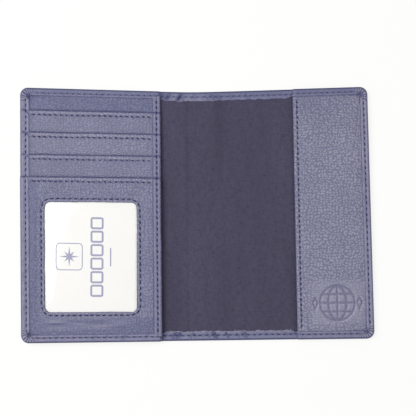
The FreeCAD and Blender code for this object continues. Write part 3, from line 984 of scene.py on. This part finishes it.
def flap_top(x, y):
    below, from_end = x - FLAP_EDGE, HALF_HEIGHT - RIM_ON_PANEL - np.abs(y)
    inside = smooth((below - 3) / 5) * smooth((HALF_WIDTH - RIM_ON_PANEL - x) / 4) * smooth(from_end / 5)
    relief = np.interp(below, MOUTH_AT, MOUTH_RISE)
    hem = -0.05 * smooth((below - 7.4) / 0.8)
    dimple = -0.1 * needle(y, FLAP_PITCH) * bell(below - SLOT_SEAM, 0.5)
    swell = inside * (0.22 + 0.08 * wander(x, y, 14, 91) + 0.03 * wander(x, y, 4, 92))
    return FLAP_TOP + (relief * 0.8 + dimple) * smooth(from_end / 3) + hem + swell - 0.36 * emblem_depth(x, y)


def flap_underside(x, y):
    hem = smooth((8 - (x - FLAP_EDGE)) / 0.6)
    nose = 0.45 * (1 - smooth((x - FLAP_EDGE) / 0.4))
    return np.minimum(FLAP_TOP - 0.8 - 0.38 * hem + nose, flap_top(x, y) - 0.08)


def flap_pressed(x, y):
    # Painted shade: in the seam, in the mark's debossed lines and where the flap goes under the rim.
    sewn = sewing_shade(x - FLAP_EDGE, needle(y, FLAP_PITCH))
    return np.maximum.reduce([sewn, 0.55 * emblem_depth(x, y), under_rim(x, y)])


def flap_worn(x, y):
    # Painted highlight: on the swelling of the flap's mouth, and beside the mark's lines on their lower
    # right.
    bright_edge = emblem_depth(x - 0.6, y + 0.6) * (1 - emblem_depth(x, y))
    return np.maximum(hem_highlight(x - FLAP_EDGE), 1.6 * bright_edge)


def flap_shade(x, y):
    return 0.2 * smooth((y - 45) / 18) * smooth((95 - x) / 20)


def flap_calm(x, y):
    """The leather is pushed smooth round the mark."""
    reach = np.maximum(np.abs(x - EMBLEM[0]) / 15.5, np.abs(y - EMBLEM[1]) / 12)
    return 0.8 * smooth((1.2 - reach) / 0.5)


def flap():
    """Sleeve flap with a turned, sewn inner edge and a debossed mark."""
    near = np.array([t for t in MOUTH_AT if t < 8]) + FLAP_EDGE
    fine = EMBLEM[0] - 1.7 * EMBLEM_R, EMBLEM[0] + 1.65 * EMBLEM_R
    xs = joined(near, spaced(near[-1], fine[0], 0.6), spaced(*fine, 0.26), spaced(fine[1], TUCKED_X, 0.6))
    mark = EMBLEM[1] - 1.15 * EMBLEM_R, EMBLEM[1] + 1.15 * EMBLEM_R
    ys = joined(spaced(-TUCKED_Y, mark[0], 0.7), spaced(*mark, 0.26), spaced(mark[1], TUCKED_Y, 0.7))
    marks = {"pressed": flap_pressed, "worn": flap_worn, "shade": flap_shade, "calm": flap_calm}
    return grid_sheet("sleeve_flap", xs, ys, flap_top, flap_underside, **marks)


def flap_cloth():
    """Cloth behind the flap's leather."""
    xs, ys = spaced(FLAP_CLOTH_EDGE, TUCKED_X, 2), spaced(-TUCKED_Y, TUCKED_Y, 2)
    z = low("flap_lining", Z)
    return grid_sheet("flap_lining_cloth", xs, ys, flat(z + 0.18), flat(z + 0.03))


# Card

CARD_TILT = math.radians(0.7)
CARD_PIVOT = (-33.0, -14.0)
CARD_CORNER = 3.0
INK_LEVEL, INK_THICK = high("insert_card", Z) + 0.005, 0.02
PRINT_Y = -23.5  # middle of the printed row
STAR_X, CELLS_X, RULE_X = -70.6, -55.2, -47.6
CELLS, CELL_PITCH = 6, 7.4


def tilted(points):
    """The card has slipped a little askew in its pocket."""
    x, y = points[:, 0] - CARD_PIVOT[0], points[:, 1] - CARD_PIVOT[1]
    c, s = math.cos(CARD_TILT), math.sin(CARD_TILT)
    return np.column_stack([CARD_PIVOT[0] + c * x + s * y, CARD_PIVOT[1] - s * x + c * y, points[:, 2]])


def rounded_box(cx, cy, w, h, r, count=6):
    turn = np.linspace(0, math.pi / 2, count)
    path = []
    for k, (sx, sy) in enumerate(((1, 1), (-1, 1), (-1, -1), (1, -1))):
        mx, my = cx + sx * (w / 2 - r), cy + sy * (h / 2 - r)
        path += [(mx + r * math.cos(a), my + r * math.sin(a)) for a in turn + k * math.pi / 2]
    return path


def card():
    """Insert card with softly broken edges, standing in the window pocket."""
    node = "insert_card"
    (x0, x1), (y0, y1), (z0, z1) = ((low(node, axis), high(node, axis)) for axis in (X, Y, Z))
    levels = ((1.5, z0), (0.0, z0 + 0.06), (0.0, z1 - 0.06), (0.06, z1), (1.5, z1))  # inset and height
    points = []
    for inset, z in levels:
        w, h = x1 - x0 - 2 * inset, y1 - y0 - 2 * inset
        ring = rounded_box((x0 + x1) / 2, (y0 + y1) / 2, w, h, CARD_CORNER - inset, 9)
        points += [(x, y, z) for x, y in ring]
    return tidy(add_mesh("id_card_blank", tilted(np.array(points)), tube_faces(len(levels), len(ring))))


def ribbon(path, width, closed=True):
    """A flat printed line along a path of x and y, as points and faces."""
    path = np.asarray(path, float)
    ahead, behind = np.roll(path, -1, 0), np.roll(path, 1, 0)
    if not closed:
        ahead[-1], behind[0] = path[-1], path[0]
    along = ahead - behind
    along = along / np.linalg.norm(along, axis=1)[:, None]
    out = np.stack([along[:, 1], -along[:, 0]], -1) * width / 2
    n, z, raised = len(path), INK_LEVEL, INK_LEVEL + INK_THICK
    corners = ((path + out, z), (path + out, raised), (path - out, raised), (path - out, z))
    points = np.concatenate([np.column_stack([line, np.full(n, level)]) for line, level in corners])
    faces = []
    for k in range(4):
        here, there = k * n, ((k + 1) % 4) * n
        last = n if closed else n - 1
        faces += [(here + i, here + (i + 1) % n, there + (i + 1) % n, there + i) for i in range(last)]
    if not closed:
        faces += [(0, n, 2 * n, 3 * n), (n - 1, 4 * n - 1, 3 * n - 1, 2 * n - 1)]
    return points, faces


def solid_shape(path):
    """A flat printed shape inside a closed path of x and y, as points and faces."""
    n = len(path)
    points = np.array([(x, y, level) for level in (INK_LEVEL, INK_LEVEL + INK_THICK) for x, y in path])
    walls = [(i, (i + 1) % n, n + (i + 1) % n, n + i) for i in range(n)]
    return points, [tuple(reversed(range(n))), tuple(range(n, 2 * n)), *walls]


def star(cx, cy, long_r, short_r, points=8):
    """Closed outline of a plain compass star."""
    path = []
    for k in range(2 * points):
        r = (long_r if k % 4 == 0 else 0.72 * long_r) if k % 2 == 0 else short_r
        a = math.pi * k / points
        path.append((cx + r * math.sin(a), cy + r * math.cos(a)))
    return path


def card_print():
    """Generic print on the card: a compass star in a box, a row of blank form cells and a short rule."""
    box = ribbon(rounded_box(STAR_X, PRINT_Y, 14.5, 14.5, 2.0), 0.5)
    shapes = [box, solid_shape(star(STAR_X, PRINT_Y, 5.6, 1.5))]
    for k in range(CELLS):
        shapes.append(ribbon(rounded_box(CELLS_X, PRINT_Y + (k - 2.5) * CELL_PITCH, 6.2, 5.6, 0.8), 1.1))
    shapes.append(ribbon([(RULE_X, PRINT_Y + y) for y in (-5, -1, 5)], 0.7, closed=False))
    points, faces = [], []
    for shape_points, shape_faces in shapes:
        start = sum(map(len, points))
        faces += [tuple(start + i for i in face) for face in shape_faces]
        points.append(shape_points)
    return tidy(add_mesh("card_ink", tilted(np.concatenate(points)), faces))


# Stitches: two twisted plies that rise from one needle hole and dive into the next

TWIST = 1.25  # turns from hole to hole
RINGS, AROUND = 11, 6


def thread(name, holes, height, slant=0.0, share=0.7, thick=0.24, down=False):
    """Stitches between each pair of holes, (n, 2) in x and y. height gives the leather's level at x and y."""
    run = np.diff(holes, axis=0)
    length = np.linalg.norm(run, axis=1)
    along = run / length[:, None]
    aside = np.stack([-along[:, 1], along[:, 0]], -1)
    turn = math.radians(slant)
    ahead = along * math.cos(turn) + aside * math.sin(turn)
    middle = (holes[:-1] + holes[1:]) / 2
    level = height(middle[:, 0], middle[:, 1])
    s = np.linspace(-1, 1, RINGS)
    lift = 0.20 - 0.55 * np.abs(s) ** 5
    a = np.linspace(0, 2 * math.pi, AROUND, endpoint=False)
    ring = aside[:, None, None] * (thick * np.cos(a))[None, None, :, None]
    points = []
    for ply in (0, 1):
        phase = TWIST * math.pi * s + ply * math.pi
        side, up = thick * 0.8 * np.cos(phase), thick * 0.8 * np.sin(phase)
        centre = middle[:, None] + ahead[:, None] * (s * share / 2)[None, :, None] * length[:, None, None]
        centre = centre + aside[:, None] * side[None, :, None]
        z = level[:, None] + (-1.0 if down else 1.0) * (lift + up)[None]
        xy = centre[:, :, None] + ring
        zz = z[:, :, None] + thick * np.sin(a)[None, None, :] + 0 * xy[..., 0]
        points.append(np.concatenate([xy, zz[..., None]], -1))
    plies = np.stack(points, 1).reshape(-1, RINGS * AROUND, 3)
    faces = [face for k in range(len(plies)) for face in tube_faces(RINGS, AROUND, k * RINGS * AROUND)]
    return tidy(add_mesh(name, plies.reshape(-1, 3), faces), weld=False)


def even_holes(start, end, pitch):
    return np.linspace(start, end, round(math.dist(start, end) / pitch) + 1)


def upright_holes(x, pitch):
    """Needle holes of a row that runs up the holder from rim to rim."""
    reach = pitch * math.floor((HALF_HEIGHT - RIM_ON_PANEL) / pitch)
    return even_holes((x, -reach), (x, reach), pitch)


def edge_threads(side):
    """Both faces of half the edge seam, from the top of the spine round to its bottom."""
    phase = seam_phase()
    at = np.isclose(phase, np.round(phase), atol=1e-6)
    outline = half_outline(0) * [side, 1]
    holes = drawn_in(by_edge(*outline.T, SEAMS))[at] * [side, 1]

    def rim(x, y):
        at_corner = (np.abs(x) > HALF_WIDTH - CORNER) & (np.abs(y) > HALF_HEIGHT - CORNER)
        return seat(x, y) + 0.04 - by_edge(x, y, THREAD_SUNK) + GATHER * gathers(x, y) + 0.2 * at_corner

    inside = thread(f"edge_thread_{WORD[side]}", holes, rim, slant=side * 5, share=0.54, thick=0.21)
    return inside, thread(f"outer_edge_thread_{WORD[side]}", holes, flat(0.42), slant=side * -5, down=True)


def slot_threads(i):
    """Stitches along mouth i."""
    y = MOUTHS[i] - SLOT_SEAM
    holes = even_holes((SEWN_RUN[0], y), (SEWN_RUN[1], y), SLOT_PITCH)
    holes = holes + np.stack([0 * holes[:, 0], mouth_line(holes[:, 0], i) - MOUTHS[i]], -1)
    names = ["slot_thread_1", "slot_thread_2", "slot_thread_3", "window_mouth_thread"]
    level = STEPS[i + 1] - 0.06 - (SUNK if i == 2 else 0)
    return thread(names[i], holes, flat(level), slant=-24, share=0.56, thick=0.26)


def window_threads():
    seam = hole_path(WINDOW_SEAM)
    seam = np.concatenate([seam, seam[:1]])
    gone = path_lengths(seam)
    marks = np.arange(0, gone[-1], WINDOW_PITCH)
    if gone[-1] - marks[-1] < WINDOW_PITCH / 2:
        marks[-1] = gone[-1]
    holes = np.stack([np.interp(marks, gone, seam[:, 0]), np.interp(marks, gone, seam[:, 1])], -1)
    return thread("window_frame_thread", holes, flat(STEPS[4] - 0.04), slant=6, share=0.6)


def binding_threads():
    holes = upright_holes(BINDING_SEAM, BINDING_PITCH)
    return thread("binding_thread", holes, lambda x, y: binding_level(y) - 0.14, slant=5, share=0.6)


def flap_threads():
    holes = upright_holes(FLAP_SEAM, FLAP_PITCH)
    return thread("flap_thread", holes, flat(FLAP_TOP - 0.05), slant=8, share=0.6)


# Materials

# Colours of painted shade in the grain's creases and the shade mark, of painted shade in seams, of raw flesh
# and of painted highlight
CREVICE_SHADE = (0.056, 0.066, 0.175)
SEAM_SHADE = (0.030, 0.037, 0.122)
FLESH = (0.36, 0.34, 0.40)
PALE = (0.40, 0.372, 0.480)


def toned(colour, factor):
    return tuple(min(1.0, c * factor) for c in colour)


class Paint:
    """A new material, with short ways to add the nodes that make it up."""

    def __init__(self, name):
        self.material = bpy.data.materials.new(name)
        self.material.use_nodes = True
        self.tree = self.material.node_tree

    def plug(self, socket, value):
        """Links a socket to another one, or gives it a number, a vector or a colour."""
        if isinstance(value, bpy.types.NodeSocket):
            self.tree.links.new(value, socket)
        elif socket.type == "RGBA":
            socket.default_value = (*value, 1.0)
        else:
            socket.default_value = value

    def node(self, kind, inputs, **settings):
        node = self.tree.nodes.new(f"ShaderNode{kind}")
        for setting, value in settings.items():
            setattr(node, setting, value)
        for socket, value in inputs.items():
            self.plug(node.inputs[socket], value)
        return node

    def coords(self):
        return self.node("TexCoord", {}).outputs["Object"]

    def stretched(self, coords, scale):
        return self.node("Mapping", {"Scale": scale, "Vector": coords}).outputs["Vector"]

    def noise(self, coords, scale, detail=3.0, roughness=0.5):
        inputs = {"Vector": coords, "Scale": scale, "Detail": detail, "Roughness": roughness}
        return self.node("TexNoise", inputs).outputs["Fac"]

    def pebbles(self, coords, scale):
        """Distance from the middle of the nearest pebble, over a sheet that lies in X and Y."""
        warp = self.node("TexNoise", {"Vector": coords, "Scale": 110}).outputs["Color"]
        bend = {0: warp, 1: (0.0045, 0.0045, 0.0045), 2: coords}
        bent = self.node("VectorMath", bend, operation="MULTIPLY_ADD").outputs[0]
        inputs = {"Vector": bent, "Scale": scale, "Randomness": 0.6}
        return self.node("TexVoronoi", inputs, voronoi_dimensions="2D").outputs["Distance"]

    def maths(self, operation, *terms):
        return self.node("Math", dict(enumerate(terms)), operation=operation).outputs[0]

    def ranged(self, value, from_low, from_high, to_low, to_high):
        inputs = {"Value": value, "From Min": from_low, "From Max": from_high}
        inputs.update({"To Min": to_low, "To Max": to_high})
        return self.node("MapRange", inputs, interpolation_type="SMOOTHSTEP").outputs["Result"]

    def mixed(self, factor, a, b):
        return self.node("Mix", {0: factor, 6: a, 7: b}, data_type="RGBA").outputs[2]

    def bump(self, height, distance, strength):
        inputs = {"Height": height, "Distance": distance, "Strength": strength}
        return self.node("Bump", inputs).outputs["Normal"]

    def mark(self, name, share=None):
        """A mesh's per-point mark, or a share of it."""
        found = self.node("Attribute", {}, attribute_name=name).outputs["Fac"]
        return found if share is None else self.maths("MULTIPLY", found, share)

    def finish(self, inputs):
        """Feeds the shader, and gives the material."""
        for socket, value in inputs.items():
            self.plug(self.tree.nodes["Principled BSDF"].inputs[socket], value)
        return self.material


def leather(name, body, stretch=(1.0, 1.0, 1.0), scale=650, contrast=0.7):
    """Pebbled leather: domed grain whose parting creases carry painted shade, cloudy colour, painted shade in
    seams and other shaded places, painted highlights, and a paler raw edge.
    """
    paint = Paint(name)
    coords = paint.stretched(paint.coords(), stretch)
    pebble = paint.ranged(paint.pebbles(coords, scale), 0.0, 0.5, 1.0, 0.0)
    worms = paint.ranged(paint.noise(coords, 2.2 * scale, 1), 0.28, 0.72, 0.0, 1.0)
    broad = paint.ranged(paint.noise(paint.coords(), 75, 3), 0.3, 0.7, 0.0, 1.0)
    grained = paint.maths("MULTIPLY_ADD", worms, 0.25, paint.maths("MULTIPLY", pebble, 0.75))
    kept = paint.maths("MULTIPLY_ADD", paint.mark("calm"), -0.85, 1.0)
    grained = paint.maths("MULTIPLY_ADD", grained, kept, paint.mark("calm", 0.34))
    cloudy = paint.mixed(broad, toned(body, 0.93), toned(body, 1.06))
    shaded = paint.mixed(paint.mark("shade"), cloudy, CREVICE_SHADE)
    pale = paint.mixed(paint.mark("worn", 0.6), shaded, PALE)
    lit = paint.maths("MULTIPLY_ADD", grained, contrast, 0.74 - 0.36 * contrast)
    with_seam_shade = paint.mixed(paint.mark("pressed", 0.9), paint.mixed(lit, CREVICE_SHADE, pale), SEAM_SHADE)
    height = paint.maths("MULTIPLY_ADD", paint.noise(coords, 3200, 4, 0.6), 0.15, grained)
    return paint.finish({
        "Base Color": paint.mixed(paint.mark("raw"), with_seam_shade, FLESH),
        "Normal": paint.bump(height, 0.0003, 1.0),
        "Roughness": paint.ranged(worms, 0.0, 1.0, 0.60, 0.50),
        "Specular IOR Level": 0.6,
    })


def cloth(name, dark, light):
    """Fine plain weave: warp and weft as crossing waves, with slightly uneven threads."""
    paint = Paint(name)
    coords = paint.coords()
    waves = []
    for direction, scale in (("X", 900.0), ("Y", 620.0)):
        inputs = {"Vector": coords, "Scale": scale, "Distortion": 0.8, "Detail": 1.0, "Detail Scale": 2.0}
        waves.append(paint.node("TexWave", inputs, bands_direction=direction).outputs["Fac"])
    warp = paint.noise(paint.stretched(coords, (1.0, 0.3, 1.0)), 1100, 3)
    weft = paint.noise(paint.stretched(coords, (0.3, 1.0, 1.0)), 1200, 3)
    shade = paint.maths("ADD", paint.maths("MAXIMUM", *waves), paint.maths("ADD", warp, weft))
    woven = paint.mixed(paint.ranged(shade, 1.1, 2.0, 0, 1), dark, light)
    return paint.finish({
        "Base Color": paint.mixed(paint.mark("shade", 0.7), woven, dark),
        "Normal": paint.bump(shade, 0.00006, 0.4),
        "Roughness": 0.85,
        "Specular IOR Level": 0.3,
    })


def fibrous(name, dark, light, grain, roughness, relief=None):
    """Two tones mixed by a grain of some scale and detail, with a relief of some depth and strength."""
    paint = Paint(name)
    fibre = paint.noise(paint.coords(), *grain)
    inputs = {"Base Color": paint.mixed(fibre, dark, light), "Roughness": roughness}
    if relief:
        inputs["Normal"] = paint.bump(fibre, *relief)
    return paint.finish(inputs)


def card_stock(name, colour):
    paint = Paint(name)
    coords = paint.coords()
    return paint.finish({
        "Base Color": paint.mixed(paint.noise(coords, 700, 3), toned(colour, 0.985), colour),
        "Normal": paint.bump(paint.noise(coords, 4000, 2), 0.00002, 0.2),
        "Roughness": 0.5,
    })


def clear_film(name):
    """Thin clear plastic: see-through, with a sharp shine."""
    paint = Paint(name)
    return paint.finish({
        "Roughness": paint.ranged(paint.noise(paint.coords(), 60, 2), 0.3, 0.8, 0.04, 0.12),
        "Base Color": (1, 1, 1),
        "Alpha": 0.10,
        "Specular IOR Level": 1.0,
        "Coat Weight": 1.0,
        "Coat Roughness": 0.05,
    })


def metal_film(name):
    paint = Paint(name)
    crinkle = paint.noise(paint.coords(), 260, 4)
    return paint.finish({
        "Normal": paint.bump(crinkle, 0.0002, 0.3),
        "Base Color": (0.72, 0.72, 0.74),
        "Metallic": 1.0,
        "Roughness": paint.ranged(crinkle, 0.3, 0.7, 0.25, 0.4),
    })


rim_leather = leather("rim_leather", (0.190, 0.190, 0.304), contrast=0.5)
header_leather = leather("header_leather", (0.176, 0.174, 0.278), (0.8, 1.15, 1.0), 620, 1.6)
strip_leather = leather("strip_leather", (0.245, 0.241, 0.336), (0.8, 1.15, 1.0), 640, 1.1)
window_leather = leather("window_leather", (0.228, 0.225, 0.321), (1.0, 0.95, 1.0), 620, 1.3)
flap_leather = leather("flap_leather", (0.296, 0.293, 0.382), (0.9, 1.1, 1.0), 620, 1.35)
lining_fabric = cloth("lining_fabric", (0.030, 0.027, 0.052), (0.086, 0.078, 0.130))
pocket_fabric = cloth("pocket_fabric", (0.028, 0.026, 0.050), (0.045, 0.042, 0.072))
THREAD_DARK, THREAD_LIGHT = (0.014, 0.019, 0.080), (0.036, 0.045, 0.145)
navy_thread = fibrous("navy_thread", THREAD_DARK, THREAD_LIGHT, (6000, 2), 0.6, (0.00004, 0.6))
RAW, INK, BOARD = (0.62, 0.58, 0.60), (0.24, 0.24, 0.40), (0.35, 0.30, 0.24)
flesh_fibre = fibrous("flesh_fibre", toned(RAW, 0.6), RAW, (900,), 0.8)
print_ink = fibrous("print_ink", INK, toned(INK, 1.18), (1500, 3), 0.55)
fibre_board = fibrous("fibre_board", toned(BOARD, 0.8), BOARD, (1200, 5, 0.7), 0.85, (0.00006, 0.5))
paper = card_stock("paper", (0.91, 0.90, 0.87))
window_plastic = clear_film("window_plastic")
shield_film = metal_film("shield_film")


# Build

LEATHER_REACH = 1.6
CLOTH_REACH = 0.7
SLOT_ROWS = ["stitches_slot_1", "stitches_slot_2", "stitches_slot_3", "stitches_window_mouth"]


def dress(made, material):
    made.data.materials.clear()
    made.data.materials.append(material)
    return made


def place(made, body, material, node):
    """Dresses a piece that stands for one CAD node and rides on one body."""
    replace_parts(dress(made, material), node)
    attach(made, body)
    return made


def fold_left(made, reach=LEATHER_REACH):
    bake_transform(made)


def fold_right(made, reach=LEATHER_REACH):
    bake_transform(made)


for side, fold in ((-1, fold_left), (1, fold_right)):
    word = WORD[side]
    cover = dress(cover_half(side), rim_leather)
    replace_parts(cover, f"outer_leather_{word}", f"turned_edge_{word}")
    cloth_half = dress(lining_half(side), lining_fabric)
    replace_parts(cloth_half, f"lining_{word}")
    inside, outside = (dress(made, navy_thread) for made in edge_threads(side))
    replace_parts(inside, f"stitches_edge_{word}")
    if side < 0:
        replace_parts(cover, "outer_leather_spine", "turned_edge_spine")
        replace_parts(cloth_half, "lining_spine")
        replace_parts(inside, "stitches_edge_spine")
    fibres = dress(raw_fibres(side), flesh_fibre)
    fold(cloth_half, CLOTH_REACH)
    for made in (cover, inside, outside, fibres):
        fold(made)

for i in range(4):
    place(leaf(i), "left_cover", strip_leather if i else header_leather, LEAVES[i])
    place(slot_threads(i), "left_cover", navy_thread, SLOT_ROWS[i])
for i in (1, 2, 3):
    node = f"slot_tongue_{i}"
    made = place(tongue(i), "left_cover", pocket_fabric, node)
roof = place(backing(), "left_cover", pocket_fabric, "panel_backing")
place(window_leaf(), "left_cover", window_leather, "window_panel")
place(film(), "left_cover", window_plastic, "window_film")
place(binding(), "left_cover", rim_leather, "panel_binding")
place(window_threads(), "left_cover", navy_thread, "stitches_window_frame")
place(binding_threads(), "left_cover", navy_thread, "stitches_binding")

place(flap(), "right_cover", flap_leather, "passport_flap")
sleeve = place(flap_cloth(), "right_cover", pocket_fabric, "flap_lining")
place(flap_threads(), "right_cover", navy_thread, "stitches_flap")
place(card(), "card", paper, "insert_card")
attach(dress(card_print(), print_ink), "card")

for node in ("stiffener_left", "stiffener_right"):
    dress(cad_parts[node], fibre_board)
dress(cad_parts["spine_interlining"], pocket_fabric)
for node in ("rfid_film_left", "rfid_film_right"):
    dress(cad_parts[node], shield_film)


# Stage, light and camera

FLOOR_REACH, FLOOR_DROP = 3.0, 0.0003
CAMERA_AIM = (0.0067, 0.0035, 0.0)
CAMERA_DISTANCE = 0.4505
CAMERA_TILT = (2.87, -0.39, -0.59)  # degrees about X, Y and Z
FOCAL_IN_FRAMES = 800 / 416
SENSOR = 36.0


def add_object(name, data):
    made = bpy.data.objects.new(name, data)
    bpy.context.scene.collection.objects.link(made)
    return made


def add_floor():
    mesh = bpy.data.meshes.new("floor")
    corners = [(x * FLOOR_REACH, y * FLOOR_REACH, 0) for x, y in ((-1, -1), (1, -1), (1, 1), (-1, 1))]
    mesh.from_pydata(corners, [], [(0, 1, 2, 3)])
    floor = add_object("floor", mesh)
    floor.location.z = -FLOOR_DROP
    mesh.materials.append(Paint("floor_paint").finish({
        "Base Color": (0.20, 0.20, 0.197),
        "Roughness": 1.0,
        "Specular IOR Level": 0.0,
        "Emission Color": (1.0, 1.0, 0.985),
        "Emission Strength": 0.79,
    }))


def add_area(name, position, size, power):
    """A rectangular light that faces the holder."""
    light = bpy.data.lights.new(name, "AREA")
    light.shape = "RECTANGLE"
    light.size, light.size_y = size
    light.energy = power
    made = add_object(name, light)
    made.location = position
    made.rotation_mode = "QUATERNION"
    made.rotation_quaternion = (-Vector(position)).to_track_quat("-Z", "Y")


def add_world(strength):
    world = bpy.data.worlds.new("studio")
    bpy.context.scene.world = world
    world.use_nodes = True
    background = world.node_tree.nodes["Background"]
    background.inputs["Color"].default_value = (1.0, 1.0, 1.0, 1)
    background.inputs["Strength"].default_value = strength


def add_camera():
    camera = bpy.data.cameras.new("camera")
    camera.sensor_width = SENSOR
    camera.lens = SENSOR * FOCAL_IN_FRAMES
    made = add_object("camera", camera)
    angles = map(math.radians, CAMERA_TILT)
    about_x, about_y, about_z = (Matrix.Rotation(a, 3, axis) for a, axis in zip(angles, "XYZ"))
    turn = about_z @ about_y @ about_x
    made.rotation_mode = "QUATERNION"
    made.rotation_quaternion = turn.to_quaternion()
    made.location = Vector(CAMERA_AIM) + turn @ Vector((0, 0, CAMERA_DISTANCE))
    bpy.context.scene.camera = made


add_floor()
add_world(strength=0.42)
add_area("key_light", position=(-0.46, 0.16, 0.80), size=(0.5, 0.6), power=6.2)
add_area("fill_light", position=(0.45, -0.25, 0.9), size=(0.7, 0.7), power=1.2)
add_camera()
bpy.context.scene.view_settings.view_transform = "Standard"
